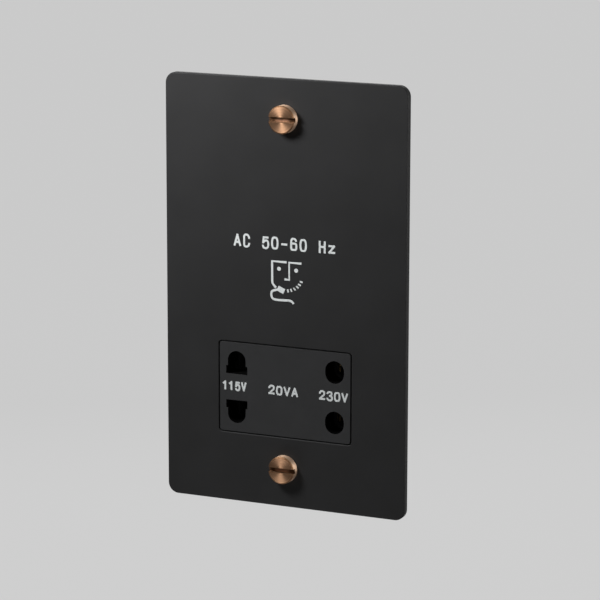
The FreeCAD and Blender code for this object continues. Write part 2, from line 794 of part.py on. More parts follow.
def make_winding_pins():
    ends = [secondary_pin(x) for x in (-secondary_pin_x, 0, secondary_pin_x)]
    ends += [primary_pin(x) for x in primary_pin_x]
    return [rod(pin_r, (x, y, z + pin_length), (x, y, z)) for x, y, z in ends]


def cutout_y():
    return core_mid_y + bobbin_half_depth - pin_edge


def make_thermal_cutout():
    z1 = bobbin_bottom
    body = block(cutout_x - cutout_width / 2, cutout_x + cutout_width / 2,
                 cutout_y() - cutout_depth / 2, cutout_y() + cutout_depth / 2, z1 - cutout_height, z1)
    ends = [e for e in body.Edges if abs(e.tangentAt(e.FirstParameter).y) > 0.99 and e.BoundBox.ZMax < z1 - 1]
    return body.makeFillet(cutout_height / 4, ends)


def clamp_rear():
    return clamp_front + clamp_depth


def make_terminal_block():
    """Body flush with the housing's back and bottom, with a shoulder, open clamp pockets and two legs."""
    body = block(-terminal_half_width, terminal_half_width, terminal_front, module_depth,
                 -module_height / 2, terminal_top)
    corner = [e for e in body.Edges if abs(e.CenterOfMass.y - module_depth) < 0.01
              and abs(e.CenterOfMass.z + module_height / 2) < 0.01]
    body = body.makeChamfer(housing_edge_break, corner)
    half = terminal_half_width + terminal_shoulder
    shoulder = block(-half, half, housing_inner_back - terminal_shoulder_depth, housing_inner_back,
                     housing_floor, terminal_top + terminal_shoulder)
    leg_low = link_low + link_width + leg_above_link
    legs = [block(left, left + leg_width, carrier_back, terminal_front, leg_low, leg_low + leg_height)
            for left in (-leg_x - leg_width, leg_x)]
    tools = []
    for x0, x1 in clamp_ranges():
        tools.append(block(x0 - clamp_gap, x1 + clamp_gap, clamp_front - clamp_gap, clamp_rear() + clamp_gap,
                           clamp_bottom, terminal_top + terminal_shoulder + 1))
    for x in wire_x:
        access_r = clamp_screw_head_r + clamp_screw_access_gap
        access_z = clamp_screw_z()
        tools.append(rod(wire_hole_r, (x, wire_y, -module_height), (x, wire_y, clamp_bottom + 1)))
        tools.append(rod(access_r, (x, clamp_rear(), access_z), (x, module_depth + 1, access_z)))
    return cut(join(body, shoulder, *legs), *tools)


def clamp_screw_z():
    return clamp_bottom + wire_bore_length / 2


def clamp_ranges():
    """x ranges of the earth clamp, which holds two wires, and of the neutral and live clamps."""
    half = clamp_width / 2
    earth_left, earth_right, neutral, live = wire_x
    earth_range = (earth_left - half, earth_right + half)
    return [earth_range, (neutral - half, neutral + half), (live - half, live + half)]


def make_clamp(x_range, wires):
    x0, x1 = x_range
    body = block(x0, x1, clamp_front, clamp_rear(), clamp_bottom, clamp_top)
    tools = []
    bore_end = clamp_bottom + wire_bore_length
    for x in wires:
        tools.append(rod(wire_bore_r, (x, wire_y, clamp_bottom - 1), (x, wire_y, bore_end)))
        tools.append(rod(clamp_screw_r + thread_gap, (x, wire_y, clamp_screw_z()),
                         (x, clamp_rear() + 1, clamp_screw_z())))
    return cut(body, *tools)


def make_terminal_screws():
    """Clamp screws, open: each tip stands just clear of the wire bore."""
    screws = []
    z = clamp_screw_z()
    tip = wire_y + wire_bore_r + clamp_screw_open
    seat = clamp_rear() + clamp_gap
    top = seat + clamp_screw_head_height
    for x in wire_x:
        head = rod(clamp_screw_head_r, (x, seat, z), (x, top, z))
        slot = block(x - 2 * clamp_screw_head_r, x + 2 * clamp_screw_head_r, top - clamp_slot_depth, top + 1,
                     z - clamp_slot_width / 2, z + clamp_slot_width / 2)
        screws.append(cut(join(head, rod(clamp_screw_r, (x, tip, z), (x, seat, z))), slot))
    return screws


def slab_outline(width, height, corner_r, y):
    """The front outline of a slab."""
    flat = slab(width, height, corner_r, y, y + 1)
    return [face for face in flat.Faces if abs(face.CenterOfMass.y - y) < 0.01][0].OuterWire


def tapered_slab(wall, y0, y1):
    """The housing's outside, or with a wall its hollow: straight at first, then with sloping long sides."""
    slope = housing_slope_inset / housing_slope_depth
    half_width, height = module_width / 2 - wall, module_height - 2 * wall
    corner_r = module_corner_r - wall
    bend = module_depth - housing_slope_depth - wall * (math.sqrt(1 + slope ** 2) - 1) / slope
    end_half_width = half_width - slope * (y1 - bend)
    outlines = [slab_outline(2 * half_width, height, corner_r, bend),
                slab_outline(2 * end_half_width, height, corner_r, y1)]
    straight = slab(2 * half_width, height, corner_r, y0, bend)
    return join(straight, Part.makeLoft(outlines, True, True))


def make_rear_housing():
    """A tub whose long sides slope in towards the back, so that the plate hides it from most sides."""
    shell = tapered_slab(0.0, cover_thickness, module_depth)
    tub = cut(shell, tapered_slab(module_wall, cover_thickness - 1, housing_inner_back))
    columns = [rod(column_r, (x, column_front, z), (x, module_depth, z)).common(shell)
               for x, z in four_corners(column_x, column_z)]
    tub = join(tub, *columns)
    back_edges = edges_at(tub, module_depth, module_width, module_height)
    tub = tub.makeChamfer(housing_edge_break, back_edges)
    tools = []
    for x, z in four_corners(column_x, column_z):
        seat = module_depth - counterbore_depth
        tools.append(rod(housing_screw_r + screw_hole_gap, (x, column_front - 1, z), (x, module_depth, z)))
        tools.append(rod(housing_screw_head_r + counterbore_gap, (x, seat, z), (x, module_depth + 1, z)))
    half = terminal_half_width + terminal_window_gap
    tools.append(block(-half, half, housing_inner_back - 1, module_depth + 1,
                       housing_floor - 1, terminal_top + terminal_window_gap))
    tools.append(block(-half, half, terminal_front - terminal_window_gap, module_depth + 1,
                       -module_height / 2 - 1, housing_floor + 1))
    for row in range(vent_rows):
        low = core_bottom + vent_above_core + row * vent_pitch
        for side in (-1, 1):
            tools.append(block(side * vent_x - vent_length / 2, side * vent_x + vent_length / 2,
                               housing_inner_back - 1, module_depth + 1, low, low + vent_width))
    return cut(tub, *tools)


def make_housing_screws():
    return [cross_head_screw(x, z, module_depth - counterbore_depth, housing_screw_length, housing_screw_r,
                             housing_screw_head_r, housing_screw_head_height)
            for x, z in four_corners(column_x, column_z)]


def barrel_start():
    return -stud_x + tongue_length


def barrel_axis():
    return cover_thickness + tag_thickness + barrel_r


def make_earth_tag():
    """A ring tag under one stud's washer, with a tongue and a crimp barrel for the earth lead."""
    y0, y1 = cover_thickness, cover_thickness + tag_thickness
    ring = rod(tag_ring_r, (-stud_x, y0, -stud_z), (-stud_x, y1, -stud_z))
    start, end = barrel_start(), barrel_start() + barrel_length
    tongue = block(-stud_x, end, y0, y1, -stud_z - tongue_half_width, -stud_z + tongue_half_width)
    barrel = rod(barrel_r, (start, barrel_axis(), -stud_z), (end, barrel_axis(), -stud_z))
    saddle = block(start, end, y1, barrel_axis(), -stud_z - barrel_r / 2, -stud_z + barrel_r / 2)
    stud_hole = rod(stud_r + thread_gap, (-stud_x, 0, -stud_z), (-stud_x, stud_height, -stud_z))
    lead_hole = rod(earth_lead_r + thread_gap, (start - 1, barrel_axis(), -stud_z),
                    (end + 1, barrel_axis(), -stud_z))
    return cut(join(ring, tongue, barrel, saddle), stud_hole, lead_hole)


def make_lead(points, radius):
    """A round lead along straight runs, joined by tangent arcs as large as the runs allow."""
    corners = [at(*point) for point in points]
    edges = []
    start = corners[0]
    for before, corner, after in zip(corners, corners[1:], corners[2:]):
        run_in, run_out = corner - before, after - corner
        reach = lead_corner_share * min(run_in.Length, run_out.Length)
        turn = run_in.getAngle(run_out)
        run_in.normalize()
        run_out.normalize()
        inward = run_out - run_in
        inward.normalize()
        bend_r = reach / math.tan(turn / 2)
        middle = corner + inward * (bend_r / math.cos(turn / 2) - bend_r)
        arc_start, arc_end = corner - run_in * reach, corner + run_out * reach
        edges.append(Part.LineSegment(start, arc_start).toShape())
        edges.append(Part.Arc(arc_start, middle, arc_end).toShape())
        start = arc_end
    edges.append(Part.LineSegment(start, corners[-1]).toShape())
    path = Part.Wire(edges)
    ring = Part.Wire([Part.makeCircle(radius, corners[0], corners[1] - corners[0])])
    lead = path.makePipeShell([ring], True, False)
    share = lead.Volume / (math.pi * radius ** 2 * path.Length)
    print("lead of %.1f mm, volume over section times length %.4f" % (path.Length, share))
    return lead


def fork_side():
    """How far the switch contacts reach to each side of the middle."""
    return bar_thickness / 2 + button_height + slide_travel + contact_air + fork_thickness


def outlet_routes(under_z, run_y):
    """From the secondary winding's outer pins to the upper clips, and from its middle pin to the link."""
    routes = {}
    upper = {"lead_230": (1, chamber_230(1)), "lead_115": (-1, chamber_115(1))}
    for name, (side, chamber) in upper.items():
        x, y, z = secondary_pin(side * secondary_pin_x)
        tag_x = (chamber[0] + chamber[1]) / 2
        tag_z = (chamber[2] + chamber[3]) / 2
        routes[name] = [(x, y, z), (x, y, under_z + 2 * lead_step), (tag_x, run_y, under_z - 3 * lead_step),
                        (tag_x, run_y, tag_z), (tag_x, tag_end(), tag_z)]
    x, y, z = secondary_pin(0)
    link_z = link_low + link_width / 2
    routes["lead_common"] = [(x, y, z), (x, y, under_z + lead_step),
                             (common_lead_x, run_y, under_z - 5 * lead_step),
                             (common_lead_x, run_y, link_z + 6 * lead_step),
                             (common_lead_x, run_y - lead_step, link_z),
                             (common_lead_x, carrier_back + clip_thickness, link_z)]
    return routes


def mains_routes(under_z, run_y):
    """From the live clamp to the switch, from the switch to the cut-out, and on to the primary winding."""
    fork_y = carrier_back + fork_height - 1.5 * lead_r
    fork_low_z = insert_z - (fork_reach + post_half_height + fork_to_post) / 2
    neutral_x, live_x = wire_x[2], wire_x[3]
    live_mid_x = common_lead_x - live_lead_to_common
    cutout_bottom = bobbin_bottom - cutout_height
    routes = {}
    routes["live_lead"] = [(live_x, wire_y, clamp_top), (live_x, wire_y, insert_z + 8 * lead_step),
                           (live_mid_x, run_y + 2 * lead_step, under_z - 6 * lead_step),
                           (0, fork_y, under_z - 5 * lead_step), (0, fork_y, insert_z + fork_reach)]
    x, y, z = primary_pin(primary_pin_x[1])
    routes["neutral_lead"] = [(neutral_x, wire_y, clamp_top), (neutral_x, wire_y, under_z - 10 * lead_step),
                              (x, y, under_z - lead_step), (x, y, z)]
    beside = -fork_side() - 5 * lead_step
    switched_x = cutout_x - cutout_width / 4
    routes["switched_lead"] = [(-fork_side(), fork_y, fork_low_z), (beside, fork_y, fork_low_z),
                               (beside, run_y, insert_z + 4 * lead_step),
                               (beside, run_y, under_z - 3 * lead_step),
                               (switched_x, cutout_y(), under_z + 3 * lead_step),
                               (switched_x, cutout_y(), cutout_bottom)]
    x, y, z = primary_pin(primary_pin_x[0])
    leaving_x = cutout_x + cutout_width / 4
    low = z - 5 * lead_step
    routes["cutout_lead"] = [(leaving_x, cutout_y(), cutout_bottom), (leaving_x, cutout_y(), low),
                             (x, y, low), (x, y, z)]
    return routes


def earth_route():
    """From the tag's barrel under the plate's stud, below the housing, into the first earth hole."""
    below = -stud_z - earth_lead_drop / 2
    turn_x = barrel_start() + barrel_length + 4 * lead_step
    return [(barrel_start() + lead_step / 2, barrel_axis(), -stud_z), (turn_x, barrel_axis(), -stud_z),
            (turn_x, barrel_axis() + 10 * lead_step, below), (wire_x[0], wire_y, below),
            (wire_x[0], wire_y, clamp_bottom + wire_bore_length)]


save("front_plate", make_front_plate())
save("fixing_screws", *[make_fixing_screw(end * fixing_centres / 2) for end in (-1, 1)])
save("screw_retainers", *[make_retainer(end * fixing_centres / 2) for end in (-1, 1)])
save("front_moulding", make_front_moulding())
save("plate_studs", *make_plate_studs())
save("stud_washers", *make_stud_washers())
save("stud_nuts", *make_stud_nuts())
save("shutter_slide", make_shutter_slide())
save("slide_springs", *[make_slide_spring(side) for side in (-1, 1)])
save("contact_bridge", make_contact_bridge())
save("switch_contacts", *[make_switch_contact(end) for end in (-1, 1)])
save("contact_carrier", make_contact_carrier())
save("carrier_screws", *make_carrier_screws())
save("clips_115", *[make_clip(chamber_115(end), True) for end in (-1, 1)])
save("clips_230", *[make_clip(chamber_230(end), False) for end in (-1, 1)])
save("common_link", make_common_link())
save("core_e_stack", make_core_e_stack())
save("core_i_stack", make_core_i_stack())
save("clamp_bars", *[make_clamp_bar(z) for z in (core_bottom + limb / 2, core_top - limb / 2)])
save("core_bolts", *make_core_bolts())
save("bobbin", make_bobbin())
primary, secondary = make_windings()
save("primary_winding", primary)
save("secondary_winding", secondary)
save("winding_pins", *make_winding_pins())
save("thermal_cutout", make_thermal_cutout())
save("terminal_block", make_terminal_block())
earth_range, neutral_range, live_range = clamp_ranges()
save("earth_clamp", make_clamp(earth_range, wire_x[:2]))
save("line_clamps", make_clamp(neutral_range, wire_x[2:3]), make_clamp(live_range, wire_x[3:]))
save("terminal_screws", *make_terminal_screws())
save("rear_housing", make_rear_housing())
save("housing_screws", *make_housing_screws())
save("earth_tag", make_earth_tag())
free_z = core_bottom - lead_under_core
free_y = carrier_back + lead_behind_carrier
for name, points in {**outlet_routes(free_z, free_y), **mains_routes(free_z, free_y)}.items():
    save(name, make_lead(points, lead_r))
save("earth_lead", make_lead(earth_route(), earth_lead_r))
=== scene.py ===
import math

import bmesh
import bpy
from mathutils import Matrix, Vector


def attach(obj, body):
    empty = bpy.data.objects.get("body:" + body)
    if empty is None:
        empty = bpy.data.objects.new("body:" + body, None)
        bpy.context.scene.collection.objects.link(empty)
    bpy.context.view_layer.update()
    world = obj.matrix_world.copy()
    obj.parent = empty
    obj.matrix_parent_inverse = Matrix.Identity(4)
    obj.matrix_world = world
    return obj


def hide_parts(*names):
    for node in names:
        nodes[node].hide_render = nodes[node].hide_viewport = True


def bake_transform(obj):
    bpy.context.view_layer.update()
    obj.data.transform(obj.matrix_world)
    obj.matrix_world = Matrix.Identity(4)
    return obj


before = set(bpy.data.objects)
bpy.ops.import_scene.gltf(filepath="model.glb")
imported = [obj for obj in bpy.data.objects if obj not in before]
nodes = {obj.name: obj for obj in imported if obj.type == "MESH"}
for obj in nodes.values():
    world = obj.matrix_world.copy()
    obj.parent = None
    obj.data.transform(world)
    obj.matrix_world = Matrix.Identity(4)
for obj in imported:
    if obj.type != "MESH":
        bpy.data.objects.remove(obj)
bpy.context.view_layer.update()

# Camera, studio and floor.
# The camera stands to the right of the plate and a little above it, on a long lens, over a pale floor. A soft
# lamp near the upper left lights the plate, with weak ones at its right and behind it. Two more lamps, at its
# lower left and its right, only add shine. Dark cards out of sight give the coat and brass a dark to mirror.
camera_turn = math.radians(24.36)
camera_tilt = math.radians(11.88)
camera_roll = math.radians(0.1)
camera_distance = 0.99197
camera_lens = 176.32
camera_aside = 0.00524
camera_drop = 0.00136
plate_face = -0.0023
backdrop_grey = 0.597
room_grey = 0.045
floor_grey = 0.60
floor_glow = 0.655
glow_share = 0.90
floor_level = -0.32
floor_reach = 30.0
card_grey = 0.01
# A mix node's colour sockets, and how many bands to a metre a straight wave texture of scale 1 has.
mix_first, mix_second, mix_result = 6, 7, 2
band_scale = 3.18

look = Vector((-math.sin(camera_turn) * math.cos(camera_tilt),
               math.cos(camera_turn) * math.cos(camera_tilt), -math.sin(camera_tilt)))
level = Vector((math.cos(camera_turn), math.sin(camera_turn), 0.0))
upright = level.cross(look)
camera_place = (level * camera_aside - upright * camera_drop - look * camera_distance
                + Vector((0.0, plate_face, 0.0)))
across = level * math.cos(camera_roll) + upright * math.sin(camera_roll)
above = upright * math.cos(camera_roll) - level * math.sin(camera_roll)
camera = bpy.data.objects.new("camera", bpy.data.cameras.new("camera"))
camera.data.lens = camera_lens
camera.matrix_world = Matrix.Translation(camera_place) @ Matrix((across, above, -look)).transposed().to_4x4()
bpy.context.scene.collection.objects.link(camera)
bpy.context.scene.camera = camera
bpy.context.scene.view_settings.view_transform = "Standard"


def hang_lamp(name, place, target, size, power, only_shine=False):
    """A soft square lamp that faces a point. One that is only for shine lights just what mirrors it."""
    lamp = bpy.data.objects.new(name, bpy.data.lights.new(name, "AREA"))
    lamp.data.size = size
    lamp.data.energy = power
    lamp.visible_diffuse = not only_shine
    lamp.location = place
    lamp.rotation_euler = (Vector(target) - Vector(place)).to_track_quat("-Z", "Y").to_euler()
    bpy.context.scene.collection.objects.link(lamp)


hang_lamp("key_lamp", (-0.15, -0.16, 0.20), (-0.06, 0.0, 0.14), 0.10, 1.92)
hang_lamp("low_shine", (-0.10, -0.12, -0.24), (0.0, 0.0, -0.06), 0.10, 0.40, only_shine=True)
hang_lamp("rim_lamp", (0.62, -0.03, 0.08), (0.0, 0.0, 0.0), 0.26, 2.0)
hang_lamp("rim_shine", (0.62, -0.03, 0.08), (0.0, 0.0, 0.0), 0.26, 5.0, only_shine=True)
hang_lamp("back_lamp", (-0.45, 0.75, 0.35), (0.0, 0.03, 0.0), 1.0, 3.6)


def sees_background(tree):
    """1 for a ray that shows the background: straight from the camera, or by way of metal or glass."""
    path = tree.nodes.new("ShaderNodeLightPath")
    seen = path.outputs["Is Camera Ray"]
    for ray in ("Is Glossy Ray", "Is Transmission Ray"):
        either = tree.nodes.new("ShaderNodeMath")
        either.operation = "MAXIMUM"
        tree.links.new(seen, either.inputs[0])
        tree.links.new(path.outputs[ray], either.inputs[1])
        seen = either.outputs[0]
    return seen


def grey(shade):
    """An even grey as a colour socket takes it."""
    return (shade, shade, shade, 1.0)


studio = bpy.data.worlds.new("studio")
studio.use_nodes = True
bpy.context.scene.world = studio
studio_light = studio.node_tree.nodes.new("ShaderNodeMix")
studio_light.data_type = "RGBA"
studio_light.inputs[mix_first].default_value = grey(room_grey)
studio_light.inputs[mix_second].default_value = grey(backdrop_grey)
studio.node_tree.links.new(sees_background(studio.node_tree), studio_light.inputs[0])
studio.node_tree.links.new(studio_light.outputs[mix_result],
                           studio.node_tree.nodes["Background"].inputs["Color"])

bm = bmesh.new()
bmesh.ops.create_grid(bm, x_segments=4, y_segments=4, size=floor_reach,
                      matrix=Matrix.Translation((0, 0, floor_level)))
floor = bpy.data.objects.new("floor", bpy.data.meshes.new("floor"))
bm.to_mesh(floor.data)
bm.free()
bpy.context.scene.collection.objects.link(floor)
floor_paint = bpy.data.materials.new("floor_paint")
floor_paint.use_nodes = True
tree = floor_paint.node_tree
matt = tree.nodes.new("ShaderNodeBsdfDiffuse")
matt.inputs["Color"].default_value = grey(floor_grey)
glow = tree.nodes.new("ShaderNodeEmission")
glow.inputs["Color"].default_value = grey(floor_glow)
share = tree.nodes.new("ShaderNodeMath")
share.operation = "MULTIPLY"
share.inputs[1].default_value = glow_share
blend = tree.nodes.new("ShaderNodeMixShader")
tree.links.new(sees_background(tree), share.inputs[0])
tree.links.new(share.outputs[0], blend.inputs[0])
tree.links.new(matt.outputs[0], blend.inputs[1])
tree.links.new(glow.outputs[0], blend.inputs[2])
tree.links.new(blend.outputs[0], tree.nodes["Material Output"].inputs["Surface"])
floor.data.materials.append(floor_paint)

bm = bmesh.new()
for width, depth, middle, turn in ((1.9, 0.44, (-0.70, -0.62, -0.10), math.pi / 2),
                                   (2.1, 0.56, (-0.60, -0.36, floor_level + 0.002), 0.0)):
    turned = Matrix.Translation(middle) @ Matrix.Rotation(turn, 4, "X")
    bmesh.ops.create_grid(bm, x_segments=1, y_segments=1, size=0.5,
                          matrix=turned @ Matrix.Diagonal((width, depth, 1.0, 1.0)))
dark_card = bpy.data.objects.new("dark_card", bpy.data.meshes.new("dark_card"))
bm.to_mesh(dark_card.data)
bm.free()
bpy.context.scene.collection.objects.link(dark_card)
card_cloth = bpy.data.materials.new("card_cloth")
card_cloth.use_nodes = True
cloth = card_cloth.node_tree.nodes["Principled BSDF"]
cloth.inputs["Base Color"].default_value = grey(card_grey)
cloth.inputs["Roughness"].default_value = 1.0
dark_card.data.materials.append(card_cloth)
dark_card.visible_camera = False
dark_card.visible_diffuse = False
dark_card.visible_shadow = False

# Face plate.
# A stamped steel plate, 89 by 147.5 by 2.3 mm, with rounded corners and eased edges. It is powder coated
# matt black on its face and edges. Its back is bare zinc with a little overspray, and lies on the wall.


def new_finish(name, roughness, metallic=0.0, specular=0.5):
    """An empty finish, its node tree and its shader."""
    finish = bpy.data.materials.new(name)
    finish.use_nodes = True
    shader = finish.node_tree.nodes["Principled BSDF"]
    shader.inputs["Roughness"].default_value = roughness
    shader.inputs["Metallic"].default_value = metallic
    shader.inputs["Specular IOR Level"].default_value = specular
    return finish, finish.node_tree, shader


def grain(tree, size, detail=3.0, stretch=(1.0, 1.0, 1.0)):
    """Noise whose specks are about that size in metres, fixed to the piece."""
    place = tree.nodes.new("ShaderNodeTexCoord")
    scale = tree.nodes.new("ShaderNodeMapping")
    scale.inputs["Scale"].default_value = [1.0 / (size * way) for way in stretch]
    noise = tree.nodes.new("ShaderNodeTexNoise")
    noise.inputs["Scale"].default_value = 1.0
    noise.inputs["Detail"].default_value = detail
    tree.links.new(place.outputs["Object"], scale.inputs["Vector"])
    tree.links.new(scale.outputs["Vector"], noise.inputs["Vector"])
    return noise.outputs["Fac"]


def stretched(tree, value, low, high, start=0.3, end=0.7):
    """The value spread from start..end to low..high."""
    spread = tree.nodes.new("ShaderNodeMapRange")
    spread.inputs["From Min"].default_value = start
    spread.inputs["From Max"].default_value = end
    spread.inputs["To Min"].default_value = low
    spread.inputs["To Max"].default_value = high
    tree.links.new(value, spread.inputs["Value"])
    return spread.outputs["Result"]


def two_tone(tree, value, dark, pale, start=0.3, end=0.7):
    """A colour that runs from dark to pale with the value."""
    tones = tree.nodes.new("ShaderNodeValToRGB")
    tones.color_ramp.elements[0].position = start
    tones.color_ramp.elements[1].position = end
    tones.color_ramp.elements[0].color = (*dark, 1.0)
    tones.color_ramp.elements[1].color = (*pale, 1.0)
    tree.links.new(value, tones.inputs["Fac"])
    return tones.outputs["Color"]


def raised(tree, value, depth, under=None):
    """A bumped normal, depth metres high, over another one if given."""
    bump = tree.nodes.new("ShaderNodeBump")
    bump.inputs["Distance"].default_value = depth
    tree.links.new(value, bump.inputs["Height"])
    if under is not None:
        tree.links.new(under, bump.inputs["Normal"])
    return bump.outputs["Normal"]


def place_on(tree):
    """The three coordinates of a point on its piece, in metres."""
    place = tree.nodes.new("ShaderNodeTexCoord")
    split = tree.nodes.new("ShaderNodeSeparateXYZ")
    tree.links.new(place.outputs["Object"], split.inputs["Vector"])
    return split.outputs


def along(tree, axis, start, end):
    """0 below start and 1 above end, in metres along one axis of the piece."""
    return stretched(tree, place_on(tree)[axis], 0.0, 1.0, start, end)


def bands(tree, direction, scale, distortion, detail=2.0):
    """Soft bands across the piece, or along it where the direction says so."""
    place = tree.nodes.new("ShaderNodeTexCoord")
    wave = tree.nodes.new("ShaderNodeTexWave")
    wave.bands_direction = direction
    wave.inputs["Scale"].default_value = scale
    wave.inputs["Distortion"].default_value = distortion
    wave.inputs["Detail"].default_value = detail
    tree.links.new(place.outputs["Object"], wave.inputs["Vector"])
    return wave.outputs["Fac"]


def mixed(tree, share, first, second):
    """One colour over another by a share."""
    mix = tree.nodes.new("ShaderNodeMix")
    mix.data_type = "RGBA"
    tree.links.new(share, mix.inputs[0])
    tree.links.new(first, mix.inputs[mix_first])
    tree.links.new(second, mix.inputs[mix_second])
    return mix.outputs[mix_result]


def worked(tree, operation, first, second=0.0):
    """A value worked out from one or two others, each an output or a number."""
    step = tree.nodes.new("ShaderNodeMath")
    step.operation = operation
    for socket, value in zip(step.inputs, (first, second)):
        if isinstance(value, float):
            socket.default_value = value
        else:
            tree.links.new(value, socket)
    return step.outputs[0]


def grained_finish(name, roughness, metallic=0.0, specular=0.5, *, tones, gloss, relief):
    """A finish whose colour, gloss and relief each follow a grain, given by its size, detail and stretch.

    Tones are a grain and two colours, gloss a grain and two roughnesses, and relief a grain and a height.
    """
    finish, tree, shader = new_finish(name, roughness, metallic, specular)
    mottle, dark, pale = tones
    scuffs, low, high = gloss
    bumps, height = relief
    tree.links.new(two_tone(tree, grain(tree, *mottle), dark, pale), shader.inputs["Base Color"])
    tree.links.new(stretched(tree, grain(tree, *scuffs), low, high), shader.inputs["Roughness"])
    tree.links.new(raised(tree, grain(tree, *bumps), height), shader.inputs["Normal"])
    return finish


merge_within = 2e-7
flat_within = math.radians(0.6)


def eased_copy(name, node, ease=0.0, keep=None, smooth_below=32.0):
    """A clean copy of a CAD node's mesh with merged faces and, where ease is given, softly rounded edges."""
    bm = bmesh.new()
    bm.from_mesh(nodes[node].data)
    bmesh.ops.remove_doubles(bm, verts=bm.verts[:], dist=merge_within)
    bmesh.ops.dissolve_limit(bm, angle_limit=flat_within, verts=bm.verts[:], edges=bm.edges[:])
    if keep is not None:
        point, away = keep
        bmesh.ops.bisect_plane(bm, geom=bm.verts[:] + bm.edges[:] + bm.faces[:], plane_co=point,
                               plane_no=away, clear_outer=True)
    for face in bm.faces:
        face.smooth = True
    for edge in bm.edges:
        edge.smooth = not edge.is_manifold or edge.calc_face_angle(0.0) < math.radians(smooth_below)
    copy = bpy.data.objects.new(name, bpy.data.meshes.new(name))
    bm.to_mesh(copy.data)
    bm.free()
    bpy.context.scene.collection.objects.link(copy)
    if ease:
        rounding = copy.modifiers.new("rounding", "BEVEL")
        rounding.width = ease
        rounding.segments = 2
        rounding.limit_method = "ANGLE"
        rounding.angle_limit = math.radians(smooth_below)
        rounding.harden_normals = True
    return copy


def fit_piece(piece, finish, slot, body, *replaced):
    """Give a piece its finish and its body, if it is on just one, and let it stand for its CAD nodes."""
    piece.data.materials.clear()
    piece.data.materials.append(finish)
    if body:
        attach(piece, body)
    if replaced:
        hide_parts(*replaced)


def dress(name, node, ease, finish, slot, body="unit"):
    """Dress one CAD node in a copy of itself with softened edges."""
    piece = eased_copy(name, node, ease)
    fit_piece(piece, finish, slot, body, node)
    return piece


plate_half_width = 0.0445
plate_half_height = 0.0737
spray_reach = 0.007
back_start, back_end = -0.0003, -0.00005

plate_coat, tree, shader = new_finish("plate_coat", 0.52, 0.0, 0.07)
coat = two_tone(tree, grain(tree, 0.018, 4.0), (0.0160, 0.0160, 0.0163), (0.0185, 0.0185, 0.0189))
zinc = two_tone(tree, grain(tree, 0.0030, 6.0), (0.34, 0.345, 0.35), (0.46, 0.465, 0.47))
place = place_on(tree)
near_side = stretched(tree, worked(tree, "ABSOLUTE", place["X"]), 0.0, 1.0,
                      plate_half_width - spray_reach, plate_half_width)
near_end = stretched(tree, worked(tree, "ABSOLUTE", place["Z"]), 0.0, 1.0,
                     plate_half_height - spray_reach, plate_half_height)
near_edge = worked(tree, "MAXIMUM", near_side, near_end)
sprayed = worked(tree, "ADD", near_edge, stretched(tree, grain(tree, 0.0006, 8.0), 0.0, 0.6))
bare = stretched(tree, sprayed, 1.0, 0.0, 0.35, 1.25)
on_back = along(tree, "Y", back_start, back_end)
bare_back = worked(tree, "MULTIPLY", on_back, bare)
tree.links.new(mixed(tree, bare_back, coat, zinc), shader.inputs["Base Color"])
tree.links.new(worked(tree, "MULTIPLY", bare_back, 0.8), shader.inputs["Metallic"])
tree.links.new(stretched(tree, grain(tree, 0.0012, 4.0), 0.49, 0.56), shader.inputs["Roughness"])
peel = raised(tree, grain(tree, 0.00034, 3.0), 0.0000042)
tree.links.new(raised(tree, grain(tree, 0.0042, 2.0), 0.0000060, peel), shader.inputs["Normal"])

dress("face_plate", "front_plate", 0.00010, plate_coat, "plate_paint")

# Fixing screws.
# Two solid brass cheese-head screws, turned on a lathe and lacquered, each with one milled slot that is
# left level when the plate is up. Behind the head is a plain neck, then an M3.5 thread into the wall box.
screw_z = 0.0603
neck_top = -0.0022
neck_radius = 0.0015
thread_radius = 0.00175
thread_depth = 0.00034
screw_tip = 0.0327
coarse_pitch = 0.0006
slot_half_width, slot_half_length = 0.00082, 0.0046
slot_mouth, slot_floor = -0.00539, -0.0040
band_width, gloss_ring, cut_ring = 0.00030, 0.00016, 0.00009
anisotropy = 0.62


def from_axis(tree, heights):
    """The vector that points out from a turned piece's own axis, for pieces above and below the middle."""
    place = place_on(tree)
    off = worked(tree, "SUBTRACT", worked(tree, "ABSOLUTE", place["Z"]), heights)
    out = tree.nodes.new("ShaderNodeCombineXYZ")
    tree.links.new(place["X"], out.inputs["X"])
    tree.links.new(worked(tree, "MULTIPLY", off, worked(tree, "SIGN", place["Z"])), out.inputs["Z"])
    return out.outputs["Vector"]


def length_of(tree, vector):
    """How long a vector is."""
    measure = tree.nodes.new("ShaderNodeVectorMath")
    measure.operation = "LENGTH"
    tree.links.new(vector, measure.inputs[0])
    return measure.outputs["Value"]


def rings(tree, distance, spacing):
    """Noise that only changes with the distance, so that it lies in rings."""
    noise = tree.nodes.new("ShaderNodeTexNoise")
    noise.noise_dimensions = "1D"
    noise.inputs["Scale"].default_value = 1.0 / spacing
    noise.inputs["Detail"].default_value = 3.0
    tree.links.new(distance, noise.inputs["W"])
    return noise.outputs["Fac"]


def tool_marks(tree, shader, distance, dark, pale, low, high, lines):
    """Brass whose colour, gloss and tool marks change with a distance only."""
    tree.links.new(two_tone(tree, rings(tree, distance, band_width), dark, pale), shader.inputs["Base Color"])
    tree.links.new(stretched(tree, rings(tree, distance, gloss_ring), low, high), shader.inputs["Roughness"])
    tree.links.new(raised(tree, rings(tree, distance, cut_ring), lines), shader.inputs["Normal"])
    shader.inputs["Anisotropic"].default_value = anisotropy


# The head's face has its tool marks round the screw's axis, and its sheen runs out from the axis.
turned_brass, tree, shader = new_finish("turned_brass", 0.40, 1.0)
outward = from_axis(tree, screw_z)
tool_marks(tree, shader, length_of(tree, outward), (0.31, 0.172, 0.099), (0.40, 0.232, 0.137), 0.35, 0.47,
           0.0000020)
tree.links.new(outward, shader.inputs["Tangent"])

